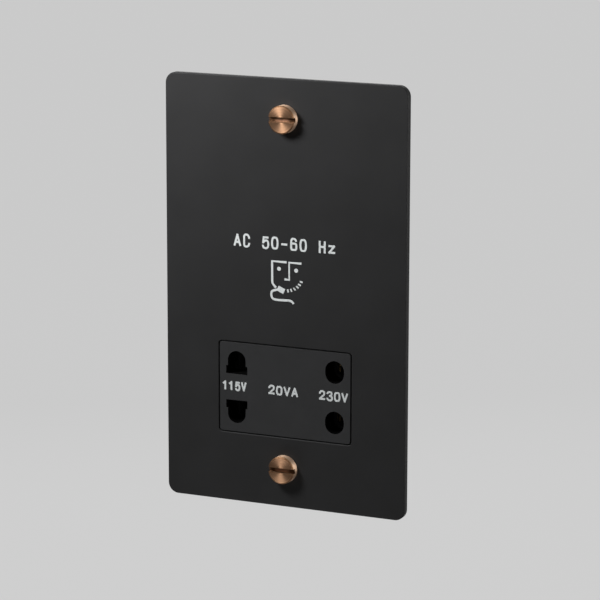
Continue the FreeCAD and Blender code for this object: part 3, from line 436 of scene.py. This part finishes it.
# The head's side has its tool marks side by side along the axis, and its sheen runs the same way.
side_brass, tree, shader = new_finish("side_brass", 0.50, 1.0)
tool_marks(tree, shader, place_on(tree)["Y"], (0.50, 0.34, 0.235), (0.58, 0.41, 0.290), 0.46, 0.56, 0.0000006)
axis = tree.nodes.new("ShaderNodeCombineXYZ")
axis.inputs["Y"].default_value = 1.0
tree.links.new(axis.outputs["Vector"], shader.inputs["Tangent"])

# The slot is milled across. Its floor is clean brass in the middle, with painted shade darkening it towards
# its ends, and its walls take the dark brass with painted shade.
milled_brass, tree, shader = new_finish("milled_brass", 0.55, 1.0)
milled = grain(tree, 0.0012, 4.0, (4.0, 1.0, 1.0))
painted_shade_end = two_tone(tree, milled, (0.050, 0.026, 0.014), (0.080, 0.042, 0.022))
clean_middle = two_tone(tree, milled, (0.26, 0.14, 0.085), (0.34, 0.19, 0.12))
to_shaded_end = stretched(tree, worked(tree, "ABSOLUTE", place_on(tree)["X"]), 0.0, 1.0, 0.0016, 0.0030)
tree.links.new(mixed(tree, to_shaded_end, clean_middle, painted_shade_end), shader.inputs["Base Color"])
tree.links.new(stretched(tree, grain(tree, 0.0003, 3.0, (6.0, 1.0, 1.0)), 0.48, 0.62),
               shader.inputs["Roughness"])
tree.links.new(raised(tree, grain(tree, 0.0002, 3.0, (8.0, 1.0, 1.0)), 0.0000010), shader.inputs["Normal"])
# Painted shade: a dark brass that draws dark lines on the head's rounded edges, its chamfer and the slot's
# walls.
shade_painted_brass = grained_finish(
    "shade_painted_brass", 0.50, 1.0, tones=((0.0008, 4.0), (0.100, 0.052, 0.026), (0.150, 0.082, 0.045)),
    gloss=((0.0003,), 0.44, 0.58), relief=((0.0002,), 0.0000010))

heads = eased_copy("fixing_screw_heads", "fixing_screws", 0.00006,
                   (Vector((0, plate_face, 0)), Vector((0, 1, 0))))
fit_piece(heads, turned_brass, "screw_brass", "unit", "fixing_screws")
for finish in (side_brass, milled_brass, shade_painted_brass):
    heads.data.materials.append(finish)
on_side, on_slot_floor, on_shaded_edge = 1, 2, 3
front_facing, floor_facing, side_facing = 0.9, 0.5, 0.2
# The rounded edges, the chamfer and the slot's walls get the dark brass with painted shade.
heads.modifiers["rounding"].material = on_shaded_edge
for face in heads.data.polygons:
    middle, facing = face.center, abs(face.normal.y)
    in_slot = abs(abs(middle.z) - screw_z) < slot_half_width and slot_mouth < middle.y < slot_floor
    if in_slot and abs(middle.x) < slot_half_length:
        face.material_index = on_slot_floor if facing > floor_facing else on_shaded_edge
    elif facing < front_facing:
        face.material_index = on_side if facing < side_facing else on_shaded_edge


def wind(bm, outline, centre, axis, turns, pitch, steps):
    """Wind a closed outline along an axis, as a thread or a spring, and close its two ends."""
    ring = [bm.verts.new(corner) for corner in outline]
    edges = [bm.edges.new((ring[i - 1], ring[i])) for i in range(len(ring))]
    step = Vector(axis) * pitch / steps
    made = bmesh.ops.spin(bm, geom=ring + edges, cent=centre, axis=axis, dvec=step,
                          angle=2.0 * math.pi * turns, steps=int(steps * turns))
    ends = edges + [piece for piece in made["geom_last"] if isinstance(piece, bmesh.types.BMEdge)]
    bmesh.ops.holes_fill(bm, edges=ends, sides=0)


def turn_round(bm, outline, centre, steps=40):
    """Turn an outline of (radius, depth) points round an axis that points into the wall."""
    centre = Vector(centre)
    verts = [bm.verts.new(centre + Vector((radius, depth, 0.0))) for radius, depth in outline]
    edges = [bm.edges.new(pair) for pair in zip(verts, verts[1:])]
    bmesh.ops.spin(bm, geom=verts + edges, cent=centre, axis=(0, 1, 0), dvec=(0, 0, 0),
                   angle=2.0 * math.pi, steps=steps, use_merge=True)
    bmesh.ops.remove_doubles(bm, verts=bm.verts[:], dist=1e-7)


def thread_on(bm, centre, core, outer, start, end, pitch, steps=16):
    """A screw thread of that core and outside radius between two depths, rooted a little inside its core."""
    x, _, z = centre
    half = pitch * 0.42
    root = core * 0.96
    turns = int((end - start - 2 * half) / pitch * steps) / steps
    outline = [(x + root, start, z), (x + outer, start + half * 0.75, z),
               (x + outer, start + half * 1.25, z), (x + root, start + 2 * half, z)]
    wind(bm, outline, (x, 0, z), (0, 1, 0), turns, pitch, steps)


def shown(name, bm, smooth_below=38.0):
    """Close a new piece: normals outwards, smooth on its curves and sharp at its edges."""
    bmesh.ops.recalc_face_normals(bm, faces=bm.faces[:])
    for face in bm.faces:
        face.smooth = True
    for edge in bm.edges:
        edge.smooth = edge.calc_face_angle(0.0) < math.radians(smooth_below)
    piece = bpy.data.objects.new(name, bpy.data.meshes.new(name))
    bm.to_mesh(piece.data)
    bm.free()
    bpy.context.scene.collection.objects.link(piece)
    return piece


bm = bmesh.new()
for end in (-1, 1):
    core = thread_radius - thread_depth
    turn_round(bm, [(0.0, neck_top), (neck_radius, neck_top), (neck_radius, 0.0), (core, 0.0003),
                    (core, screw_tip - 0.0006), (core - 0.0004, screw_tip), (0.0, screw_tip)],
               (0, 0, end * screw_z))
    thread_on(bm, (0, 0, end * screw_z), core, thread_radius, 0.0002, screw_tip - 0.0005, coarse_pitch)
shanks = shown("fixing_screw_shanks", bm)
rolled_brass = grained_finish(
    "rolled_brass", 0.32, 1.0, tones=((0.0011, 5.0), (0.44, 0.25, 0.13), (0.60, 0.36, 0.20)),
    gloss=((0.0004,), 0.26, 0.42), relief=((0.0002,), 0.0000030))
fit_piece(shanks, rolled_brass, "screw_brass", "unit", "fixing_screws")

# Screw retainers.
# Two punched nylon washers in counterbores of the plate's back. They grip the screws' necks, so that the
# screws stay on the plate while it is carried.
natural_nylon = grained_finish(
    "natural_nylon", 0.42, tones=((0.0016, 4.0), (0.66, 0.64, 0.56), (0.78, 0.76, 0.69)),
    gloss=((0.0007,), 0.36, 0.5), relief=((0.0003,), 0.0000060))
shader = natural_nylon.node_tree.nodes["Principled BSDF"]
shader.inputs["Subsurface Weight"].default_value = 0.15
shader.inputs["Subsurface Radius"].default_value = (0.001, 0.001, 0.0008)
dress("retaining_washers", "screw_retainers", 0.00008, natural_nylon, "clear_nylon")

# Module front.
# One black moulding. Its raised block fills the plate's cut-out and carries the four pin holes, and behind
# the plate it is the module's cover with four ears. It is satin, with the fine texture of its mould.
insert_face = -0.0022
insert_half = Vector((0.0235, 0.0, 0.0147))
insert_height = -0.0335
hole_depth = 0.005
# Painted shade: below the insert's face, its rounded edges, sides and walls are painted near black.
shade_start, shade_end = 0.000007, 0.000035
on_shaded_hole_wall, wall_facing = 1, 0.5

insert_black, tree, shader = new_finish("insert_black", 0.46, 0.0, 0.16)
face_black = two_tone(tree, grain(tree, 0.009, 4.0), (0.0190, 0.0192, 0.0198), (0.0212, 0.0214, 0.0222))
# The near-black colour below the face is painted shade, not the moulding's own colour.
painted_shade_black = two_tone(tree, grain(tree, 0.001, 4.0), (0.0020, 0.0020, 0.0020), (0.0030, 0.0030, 0.0030))
shaded_below_face = along(tree, "Y", insert_face + shade_start, insert_face + shade_end)
tree.links.new(mixed(tree, shaded_below_face, face_black, painted_shade_black), shader.inputs["Base Color"])
satin = stretched(tree, grain(tree, 0.0010, 4.0), 0.43, 0.52)
tree.links.new(worked(tree, "MAXIMUM", satin, worked(tree, "MULTIPLY", shaded_below_face, 0.9)),
               shader.inputs["Roughness"])
flow = raised(tree, grain(tree, 0.006, 2.0, (1.0, 1.0, 0.4)), 0.0000080)
tree.links.new(raised(tree, grain(tree, 0.00020, 2.0), 0.0000030, flow), shader.inputs["Normal"])

# Painted shade: a near-black, dull finish on the pin holes' walls, darker than the moulding, for the shade
# inside the holes.
hole_shade_black = grained_finish(
    "hole_shade_black", 0.95, 0.0, 0.0, tones=((0.001, 4.0), (0.0016, 0.0016, 0.0016), (0.0026, 0.0026, 0.0026)),
    gloss=((0.0006,), 0.88, 0.98), relief=((0.0003,), 0.0000060))

moulding = dress("module_front", "front_moulding", 0.00012, insert_black, "insert_black")
moulding.data.materials.append(hole_shade_black)
# The pin holes' walls take the painted-shade finish.
for face in moulding.data.polygons:
    middle = face.center
    inside = abs(middle.x) < insert_half.x and abs(middle.z - insert_height) < insert_half.z
    if inside and middle.y < hole_depth and abs(face.normal.y) < wall_facing:
        face.material_index = on_shaded_hole_wall

# Printed ratings and legend.
# Pale grey screen printing, a thin film of ink on the plate and the insert. The insert has the two
# voltages and the rating between them, and the plate has the supply's kind and frequency.
ink_height = 0.000015
rating_low, rating_high, rating_stroke = -0.03475, -0.03150, 0.00066
legend_low, legend_high, legend_stroke = 0.01575, 0.02000, 0.00070
stroke_reach = 0.42

pale_ink = grained_finish(
    "pale_ink", 0.55, 0.0, 0.3, tones=((0.0005, 4.0), (0.43, 0.45, 0.45), (0.50, 0.52, 0.52)),
    gloss=((0.0003,), 0.48, 0.62), relief=((0.00012,), 0.0000020))

# The strokes of each character, in a box one wide and one high.
stroke_shapes = {
    "0": [("round", [(0.50, 1.03), (0.12, 1.00), (0.0, 0.5), (0.12, 0.0), (0.5, -0.03), (0.88, 0.0),
                     (1.0, 0.5), (0.88, 1.00)])],
    "1": [("line", [(0.10, 0.76), (0.52, 0.97), (0.52, 0.0)])],
    "2": [("curve", [(0.07, 0.70), (0.04, 1.05), (0.96, 1.08), (0.93, 0.62), (0.60, 0.42), (0.12, 0.05)]),
          ("line", [(0.06, 0.03), (0.96, 0.03)])],
    "3": [("curve", [(0.07, 0.76), (0.10, 1.04), (0.92, 1.06), (0.88, 0.54), (0.38, 0.54)]),
          ("curve", [(0.38, 0.54), (0.96, 0.56), (1.02, -0.05), (0.08, -0.08), (0.05, 0.25)])],
    "5": [("line", [(0.90, 0.97), (0.20, 0.97), (0.12, 0.47)]),
          ("curve", [(0.12, 0.47), (0.34, 0.68), (0.98, 0.68), (1.00, -0.06), (0.10, -0.08), (0.05, 0.24)])],
    "6": [("curve", [(0.92, 0.80), (0.84, 1.05), (0.08, 1.08), (0.05, 0.40), (0.10, 0.02)]),
          ("round", [(0.50, 0.60), (0.06, 0.62), (0.06, 0.0), (0.5, 0.0), (0.96, 0.0), (0.96, 0.62)])],
    "A": [("line", [(0.02, 0.0), (0.50, 1.0), (0.98, 0.0)]), ("line", [(0.18, 0.30), (0.82, 0.30)])],
    "C": [("curve", [(0.94, 0.70), (0.88, 1.06), (0.04, 1.10), (0.06, 0.5), (0.04, -0.10), (0.88, -0.06),
                     (0.94, 0.30)])],
    "H": [("line", [(0.08, 0.0), (0.08, 1.0)]), ("line", [(0.92, 0.0), (0.92, 1.0)]),
          ("line", [(0.08, 0.52), (0.92, 0.52)])],
    "V": [("line", [(0.02, 1.0), (0.50, 0.0), (0.98, 1.0)])],
    "L": [("line", [(0.10, 1.0), (0.10, 0.0), (0.85, 0.0)])],
    "N": [("line", [(0.05, 0.0), (0.05, 1.0), (0.95, 0.0), (0.95, 1.0)])],
    "earth": [("line", [(0.50, 1.0), (0.50, 0.55)]), ("line", [(0.0, 0.55), (1.0, 0.55)]),
              ("line", [(0.20, 0.28), (0.80, 0.28)]), ("line", [(0.42, 0.0), (0.58, 0.0)])],
    "-": [("line", [(0.12, 0.44), (0.88, 0.44)])],
    "z": [("line", [(0.08, 0.66), (0.90, 0.66), (0.10, 0.04), (0.94, 0.04)])],
}


def print_stroke(bm, points, face, width, kind="line", height=ink_height):
    """One flat stroke through points on the face, as high as ink unless told."""
    drawn = bpy.data.curves.new("stroke", "CURVE")
    drawn.dimensions = "3D"
    drawn.bevel_depth = width / 2
    drawn.bevel_resolution = 2
    drawn.use_fill_caps = True
    line = drawn.splines.new("POLY" if kind == "line" else "NURBS")
    line.points.add(len(points) - 1)
    for spot, (x, z) in zip(line.points, points):
        spot.co = (x, 0.0, z, 1.0)
    if kind != "line":
        line.order_u = 3
        line.resolution_u = 8
        line.use_cyclic_u = kind == "round"
        line.use_endpoint_u = kind == "curve"
    loose = bpy.data.objects.new("stroke", drawn)
    bpy.context.scene.collection.objects.link(loose)
    bpy.context.view_layer.update()
    mesh = bpy.data.meshes.new_from_object(loose.evaluated_get(bpy.context.evaluated_depsgraph_get()))
    bpy.data.objects.remove(loose)
    mesh.transform(Matrix.Translation((0, face, 0)) @ Matrix.Diagonal((1, 2 * height / width, 1, 1)))
    bm.from_mesh(mesh)


def print_character(bm, character, left, right, low, high, face, width, height=ink_height):
    """One character of strokes that fill its place on the face."""
    for kind, outline in stroke_shapes.get(character, []):
        inside = [Vector((left + width / 2 + x * (right - left - width),
                          low + width / 2 + z * (high - low - width))) for x, z in outline]
        if kind != "line":
            print_stroke(bm, inside, face, width, kind, height)
            continue
        for first, last in zip(inside, inside[1:]):
            reach = (last - first).normalized() * width * stroke_reach
            print_stroke(bm, [first - reach, last + reach], face, width, kind, height)


def print_words(name, words, left, right, low, high, face, width, room):
    """Characters spread over their place on the face. Room is a letter's share of its step."""
    bm = bmesh.new()
    step = (right - left) / (len(words) - 1 + room)
    for place, character in enumerate(words):
        start = left + place * step
        print_character(bm, character, start, start + step * room, low, high, face, width)
    fit_piece(shown(name, bm), pale_ink, "clear_nylon", "unit")


for name, words, left, right in (("rating_115", "115V", -0.02345, -0.01430),
                                 ("rating_power", "20VA", -0.00620, 0.00510),
                                 ("rating_230", "230V", 0.01270, 0.02355)):
    print_words(name, words, left, right, rating_low, rating_high, insert_face, rating_stroke, 0.90)
print_words("supply_legend", "AC 50-60 Hz", -0.01900, 0.01880, legend_low, legend_high, plate_face,
            legend_stroke, 0.82)

# Shaver sign.
# The common sign for a shaver outlet, screen printed in the same ink: a face seen half from the side, with
# a shaver at its chin, the shaver's lead, and short strokes for the beard.
millimetre = 0.001
sign_stroke = 0.00078
sign_lift = 0.5
eye_radius = 0.00070
shaver_width = 0.00185
cheek_middle, beard_stroke, beard_half_length = Vector((0.2, 6.2)), 0.00055, 0.55


def draw_on_sign(bm, points, width=sign_stroke, kind="line"):
    """One stroke of the sign, through points in millimetres from the plate's middle."""
    print_stroke(bm, [(x * millimetre, (z + sign_lift) * millimetre) for x, z in points], plate_face, width,
                 kind)


def print_dot(bm, x, z, radius):
    """A round dot of ink."""
    place = Matrix.Translation((x * millimetre, plate_face, (z + sign_lift) * millimetre))
    bmesh.ops.create_cone(bm, cap_ends=True, segments=28, radius1=radius, radius2=radius,
                          depth=2 * ink_height, matrix=place @ Matrix.Rotation(math.pi / 2, 4, "X"))


bm = bmesh.new()
draw_on_sign(bm, [(0.75, 11.12), (-4.60, 11.12), (-4.60, 10.7)])
draw_on_sign(bm, [(-4.60, 11.12), (-4.58, 7.5), (-4.56, 4.4), (-4.40, 3.2), (-3.10, 2.10)], kind="curve")
draw_on_sign(bm, [(6.25, 11.10), (1.70, 11.10), (1.76, 5.15), (0.0, 5.25)])
print_dot(bm, -2.04, 8.67, eye_radius)
print_dot(bm, 4.30, 8.57, eye_radius)
draw_on_sign(bm, [(-2.56, 2.02), (-0.12, 0.98)], shaver_width)
draw_on_sign(bm, [(-2.50, 1.45), (-3.6, 1.25), (-4.75, 0.75), (-4.95, -0.5), (-4.6, -1.7), (-3.2, -2.15),
                  (0.2, -2.0), (1.9, -1.95), (2.9, -2.25), (3.41, -3.0)], kind="curve")
for x, z in ((1.26, 1.35), (2.48, 1.64), (3.70, 2.18), (4.77, 2.90), (5.53, 3.77), (6.20, 4.83)):
    outward = (Vector((x, z)) - cheek_middle).normalized() * beard_half_length
    draw_on_sign(bm, [(x - outward.x, z - outward.y), (x + outward.x, z + outward.y)], beard_stroke)
fit_piece(shown("shaver_sign", bm), pale_ink, "clear_nylon", "unit")

# Plate studs.
# Four threaded steel studs, resistance welded to the plate's back before it is coated. Each stands in a
# small ring of weld metal, and carries an ear of the module front.
stud_places = [(side * 0.022, end * 0.0557) for side in (-1, 1) for end in (-1, 1)]
stud_end = 0.007
stud_core, stud_radius, stud_pitch = 0.00128, 0.0015, 0.0005

bm = bmesh.new()
for x, z in stud_places:
    turn_round(bm, [(0.0, 0.00001), (0.00178, 0.00001), (0.00170, 0.00022), (stud_core, 0.00045),
                    (stud_core, stud_end - 0.0003), (0.00100, stud_end), (0.0, stud_end)], (x, 0, z), 32)
    thread_on(bm, (x, 0, z), stud_core, stud_radius, 0.0004, stud_end - 0.0002, stud_pitch)
studs = shown("plate_stud_threads", bm)

zinc_plate = grained_finish(
    "zinc_plate", 0.30, 1.0, tones=((0.0013, 5.0), (0.42, 0.43, 0.45), (0.66, 0.66, 0.64)),
    gloss=((0.0006, 4.0), 0.24, 0.44), relief=((0.00025, 3.0), 0.0000050))
fit_piece(studs, zinc_plate, "zinc_steel", "unit", "plate_studs")

# Washers and nuts.
# A plain washer and a hexagon nut on each stud clamp the module to the plate. Zinc-plated steel, the nuts
# with chamfered corners. Under one washer sits the earth tag.
dress("stud_washer_rings", "stud_washers", 0.00008, zinc_plate, "zinc_steel")
dress("stud_hexagon_nuts", "stud_nuts", 0.00016, zinc_plate, "zinc_steel")

# Rear housing.
# A deep grey tub with sloped long sides, vent slots and a notch for the terminals, moulded in one with
# four screw columns. Its skin has the fine matt texture of a spark-eroded mould.
housing_grey = grained_finish(
    "housing_grey", 0.58, 0.0, 0.35, tones=((0.011, 5.0), (0.225, 0.232, 0.240), (0.275, 0.282, 0.290)),
    gloss=((0.0009, 5.0), 0.50, 0.68), relief=((0.00042, 5.0), 0.0000330))
housing = eased_copy("rear_tub", "rear_housing", 0.00025, smooth_below=20.0)
fit_piece(housing, housing_grey, "housing_grey", "unit", "rear_housing")

# Housing screws.
# Four long self-tapping screws with cross recesses, zinc plated, sunk in the columns. Their coarse threads
# cut into the pillars of the module front.
column_places = [(side * 0.0274, end * 0.0474) for side in (-1, 1) for end in (-1, 1)]
housing_seat = 0.027
tapping_core, tapping_radius, tapping_pitch = 0.00098, 0.00130, 0.0010
tapping_tip, tapping_top = 0.0071, 0.0269
screw_heads = eased_copy("housing_screw_heads", "housing_screws", 0.00007,
                         (Vector((0, housing_seat - 0.0002, 0)), Vector((0, -1, 0))))
fit_piece(screw_heads, zinc_plate, "zinc_steel", "unit", "housing_screws")
bm = bmesh.new()
for x, z in column_places:
    turn_round(bm, [(0.0, tapping_tip), (0.0004, tapping_tip), (tapping_core, 0.0082),
                    (tapping_core, tapping_top), (0.0, tapping_top)], (x, 0, z), 28)
    thread_on(bm, (x, 0, z), tapping_core, tapping_radius, 0.0080, 0.0250, tapping_pitch)
fit_piece(shown("housing_screw_threads", bm), zinc_plate, "zinc_steel", "unit", "housing_screws")

# Terminal block.
# An ivory moulding set flush in the housing's notch, with clamp pockets, wire entries and screw openings.
# It is satin, a little glossier than the housing, with marks in dark ink beside the wire entries.
terminal_ivory = grained_finish(
    "terminal_ivory", 0.40, 0.0, 0.45, tones=((0.008, 4.0), (0.55, 0.53, 0.455), (0.63, 0.61, 0.535)),
    gloss=((0.0008, 4.0), 0.34, 0.48), relief=((0.0003, 3.0), 0.0000090))
dress("terminal_moulding", "terminal_block", 0.00015, terminal_ivory, "terminal_ivory")

# The marks are on the block's lower face, and are read from below with the unit's back uppermost.
block_foot = -0.052
mark_half_width, mark_low, mark_high = 0.0009, 0.0378, 0.0402
mark_stroke, mark_film = 0.00036, 0.00003
dark_ink = grained_finish(
    "dark_ink", 0.5, 0.0, 0.4, tones=((0.0005, 4.0), (0.020, 0.020, 0.022), (0.034, 0.034, 0.036)),
    gloss=((0.0003,), 0.44, 0.58), relief=((0.00012,), 0.0000020))
bm = bmesh.new()
for x, mark in ((0.012, "L"), (0.004, "N"), (-0.004, "earth"), (-0.012, "earth")):
    print_character(bm, mark, -x - mark_half_width, -x + mark_half_width, mark_low, mark_high, 0.0,
                    mark_stroke, mark_film)
from_below = Matrix(((-1.0, 0.0, 0.0), (0.0, 0.0, 1.0), (0.0, 1.0, 0.0))).to_4x4()
bmesh.ops.transform(bm, matrix=Matrix.Translation((0, 0, block_foot)) @ from_below, verts=bm.verts[:])
fit_piece(shown("terminal_marks", bm), dark_ink, "carrier_grey", "unit")

# Clamps and clamp screws.
# Brass tunnel clamps hold the supply wires, the earth clamp being twice as wide, under slotted steel
# screws that stand open.
contact_brass = grained_finish(
    "contact_brass", 0.28, 1.0, tones=((0.0030, 5.0), (0.56, 0.40, 0.16), (0.72, 0.54, 0.26)),
    gloss=((0.0016, 3.0, (3.0, 1.0, 0.3)), 0.22, 0.40), relief=((0.00020, 3.0, (6.0, 1.0, 1.0)), 0.0000030))
dress("line_clamp_blocks", "line_clamps", 0.0002, contact_brass, "contact_brass")
dress("earth_clamp_block", "earth_clamp", 0.0002, contact_brass, "contact_brass")
dress("clamp_screws", "terminal_screws", 0.00012, zinc_plate, "zinc_steel")

# Earth tag and earth lead.
# A tinned brass ring tag is clamped under one stud's washer. Its crimped barrel holds the green and yellow
# lead that runs below the housing to the first earth entry.
tinned_tag = grained_finish(
    "tinned_tag", 0.34, 1.0, tones=((0.0020, 5.0), (0.50, 0.49, 0.46), (0.70, 0.69, 0.66)),
    gloss=((0.0007, 4.0), 0.28, 0.46), relief=((0.0003, 3.0), 0.0000060))
dress("earth_ring_tag", "earth_tag", 0.00008, tinned_tag, "zinc_steel")


def sleeve_finish(name, colour, pale):
    """A lead's smooth plastic sleeve, a little mottled and scuffed."""
    return grained_finish(name, 0.42, 0.0, 0.45, tones=((0.0024, 4.0), colour, pale),
                          gloss=((0.0010, 3.0), 0.34, 0.54), relief=((0.0006, 3.0), 0.0000120))


earth_sleeve = sleeve_finish("earth_sleeve", (0.045, 0.205, 0.045), (0.060, 0.245, 0.055))
tree = earth_sleeve.node_tree
shader = tree.nodes["Principled BSDF"]
green = shader.inputs["Base Color"].links[0].from_socket
yellow = two_tone(tree, grain(tree, 0.0024, 4.0), (0.60, 0.46, 0.025), (0.68, 0.53, 0.040))
stripe = stretched(tree, bands(tree, "DIAGONAL", 95.0, 0.6, 1.0), 0.0, 1.0, 0.46, 0.54)
tree.links.new(mixed(tree, stripe, green, yellow), shader.inputs["Base Color"])
dress("earth_wire", "earth_lead", 0.0, earth_sleeve, "earth_sleeve")

# Interlock slide and its springs.
# A black acetal slide behind the pin holes, which the pins push aside by its ramps, and two bright drawn
# steel coil springs on pegs that bring it back to the middle.
slide_black = grained_finish(
    "slide_black", 0.36, 0.0, 0.30, tones=((0.006, 4.0), (0.006, 0.006, 0.0062), (0.0085, 0.0085, 0.009)),
    gloss=((0.0012, 3.0, (5.0, 1.0, 1.0)), 0.30, 0.46), relief=((0.0004, 3.0, (5.0, 1.0, 1.0)), 0.0000060))
dress("interlock_slide", "shutter_slide", 0.00012, slide_black, "slide_black", "shutter")

slide_reach, spring_stop = 0.0225, 0.0290
slide_depth, slide_height = 0.0062, -0.0335
coil_radius, wire_radius, coil_turns, coil_gap = 0.0020, 0.00022, 4, 0.00015
wire_corners, coil_steps, past_end = 12, 28, 0.001
spring_steel = grained_finish(
    "spring_steel", 0.22, 1.0, tones=((0.0009, 3.0), (0.46, 0.46, 0.47), (0.62, 0.62, 0.62)),
    gloss=((0.0005, 3.0), 0.18, 0.32), relief=((0.00015, 3.0), 0.0000020))
inner = slide_reach + coil_gap + wire_radius
outer = spring_stop - coil_gap - wire_radius
for name, side in (("left_spring", -1), ("right_spring", 1)):
    bm = bmesh.new()
    round_wire = [(side * (inner + wire_radius * math.cos(turn * 2.0 * math.pi / wire_corners)),
                   slide_depth + coil_radius + wire_radius * math.sin(turn * 2.0 * math.pi / wire_corners),
                   slide_height) for turn in range(wire_corners)]
    wind(bm, round_wire, (0, slide_depth, slide_height), (side, 0, 0), coil_turns,
         (outer - inner) / coil_turns, coil_steps)
    spring = shown(name, bm)
    fit_piece(spring, spring_steel, "spring_steel", None, "slide_springs")
    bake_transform(spring)

# Switch.
# A bar with silver buttons rides on the slide's post between two forked brass contacts, so that the
# transformer is only live while a plug is in.
bridge = dress("switch_bar", "contact_bridge", 0.00006, contact_brass, "contact_brass", "shutter")
button_silver = grained_finish(
    "button_silver", 0.20, 1.0, tones=((0.0007, 4.0), (0.70, 0.69, 0.66), (0.85, 0.84, 0.82)),
    gloss=((0.0004, 3.0), 0.16, 0.34), relief=((0.0002, 3.0), 0.0000030))
bridge.data.materials.append(button_silver)
bar_half_width, on_button = 0.00042, 1
for face in bridge.data.polygons:
    if abs(face.center.x) > bar_half_width:
        face.material_index = on_button
dress("switch_forks", "switch_contacts", 0.00005, contact_brass, "contact_brass")

# Contact carrier.
# A dark grey moulding with a chamber for each contact clip, held to the module front by two small screws.
carrier_grey = grained_finish(
    "carrier_grey", 0.44, 0.0, 0.40, tones=((0.009, 4.0), (0.085, 0.085, 0.092), (0.105, 0.105, 0.113)),
    gloss=((0.0009, 4.0), 0.38, 0.54), relief=((0.0003, 3.0), 0.0000100))
dress("carrier_moulding", "contact_carrier", 0.00015, carrier_grey, "carrier_grey")
dress("carrier_fixing_screws", "carrier_screws", 0.00007, zinc_plate, "zinc_steel")

# Contact clips and common link.
# Folded strips of spring brass grip the pins, and a flat strip joins the two lower clips.
for name, node in (("spring_clips_115", "clips_115"), ("spring_clips_230", "clips_230"),
                   ("joining_strip", "common_link")):
    dress(name, node, 0.00008, contact_brass, "contact_brass")

# Transformer core.
# Two stacks of varnished silicon-steel laminations, an E and an I, whose sheets show as fine lines along
# the edges, clamped by two plated bars and four long bolts.
sheet_thickness = 0.00050
core_iron, tree, shader = new_finish("core_iron", 0.42, 0.6)
sheets = bands(tree, "Y", 1.0 / (sheet_thickness * band_scale), 0.3)
varnish = two_tone(tree, grain(tree, 0.006, 5.0), (0.060, 0.048, 0.040), (0.16, 0.14, 0.13))
sheet_edge = two_tone(tree, sheets, (0.25, 0.25, 0.26), (1.0, 1.0, 1.0), 0.05, 0.4)
shade = tree.nodes.new("ShaderNodeMix")
shade.data_type = "RGBA"
shade.blend_type = "MULTIPLY"
shade.inputs[0].default_value = 1.0
tree.links.new(varnish, shade.inputs[mix_first])
tree.links.new(sheet_edge, shade.inputs[mix_second])
tree.links.new(shade.outputs[mix_result], shader.inputs["Base Color"])
tree.links.new(stretched(tree, grain(tree, 0.0020, 4.0), 0.32, 0.58), shader.inputs["Roughness"])
tree.links.new(raised(tree, sheets, 0.00006), shader.inputs["Normal"])
for name, node in (("e_laminations", "core_e_stack"), ("i_laminations", "core_i_stack")):
    dress(name, node, 0.00012, core_iron, "core_iron")
dress("yoke_bars", "clamp_bars", 0.00015, zinc_plate, "zinc_steel")
dress("yoke_bolts", "core_bolts", 0.00008, zinc_plate, "zinc_steel")

# Bobbin, windings and cut-out.
# A nylon bobbin in two bays carries the primary and secondary windings of enamelled copper, laid turn by
# turn. Tinned pins stand in its lower flange, beside a potted over-temperature cut-out.
fine_wire, stout_wire = 0.00030, 0.00050
bobbin_nylon = grained_finish(
    "bobbin_nylon", 0.46, 0.0, 0.4, tones=((0.006, 4.0), (0.62, 0.59, 0.49), (0.70, 0.67, 0.57)),
    gloss=((0.0009, 4.0), 0.40, 0.56), relief=((0.0004, 3.0), 0.0000100))
dress("bobbin_moulding", "bobbin", 0.00015, bobbin_nylon, "bobbin_nylon")


def winding_finish(name, wire, dark, pale):
    """Enamelled wire of that size, wound turn by turn round the upright limb."""
    finish, tree, shader = new_finish(name, 0.26, 0.85)
    turns = bands(tree, "Z", 1.0 / (wire * band_scale), 0.8, 1.0)
    tree.links.new(two_tone(tree, grain(tree, 0.004, 4.0), dark, pale), shader.inputs["Base Color"])
    tree.links.new(stretched(tree, grain(tree, 0.0012, 4.0), 0.20, 0.36), shader.inputs["Roughness"])
    tree.links.new(raised(tree, turns, wire * 0.4), shader.inputs["Normal"])
    return finish


fine_copper = winding_finish("fine_copper", fine_wire, (0.36, 0.115, 0.045), (0.50, 0.19, 0.085))
stout_copper = winding_finish("stout_copper", stout_wire, (0.42, 0.145, 0.060), (0.56, 0.22, 0.10))
dress("primary_turns", "primary_winding", 0.0003, fine_copper, "winding_copper")
dress("secondary_turns", "secondary_winding", 0.0003, stout_copper, "winding_copper")
dress("bobbin_pins", "winding_pins", 0.00008, tinned_tag, "zinc_steel")
cutout_case = grained_finish(
    "cutout_case", 0.5, 0.0, 0.4, tones=((0.003, 4.0), (0.065, 0.055, 0.045), (0.095, 0.083, 0.070)),
    gloss=((0.0009, 4.0), 0.42, 0.62), relief=((0.0005, 3.0), 0.0000150))
dress("cutout_body", "thermal_cutout", 0.00020, cutout_case, "cutout_case")

# Internal leads.
# Short stranded leads in plastic sleeves, soldered at both ends: brown, blue, black, red and white.
brown = sleeve_finish("brown_sleeve", (0.085, 0.030, 0.012), (0.115, 0.044, 0.020))
blue = sleeve_finish("blue_sleeve", (0.020, 0.065, 0.250), (0.030, 0.085, 0.300))
black = sleeve_finish("black_sleeve", (0.018, 0.018, 0.018), (0.026, 0.026, 0.026))
red = sleeve_finish("red_sleeve", (0.300, 0.018, 0.018), (0.370, 0.026, 0.026))
white = sleeve_finish("white_sleeve", (0.60, 0.60, 0.57), (0.68, 0.68, 0.66))
for node, sleeve, slot in (("live_lead", brown, "brown_lead"), ("neutral_lead", blue, "blue_lead"),
                           ("switched_lead", brown, "brown_lead"), ("cutout_lead", brown, "brown_lead"),
                           ("lead_115", red, "red_lead"), ("lead_230", black, "black_lead"),
                           ("lead_common", white, "white_lead")):
    dress(node + "_wire", node, 0.0, sleeve, slot)
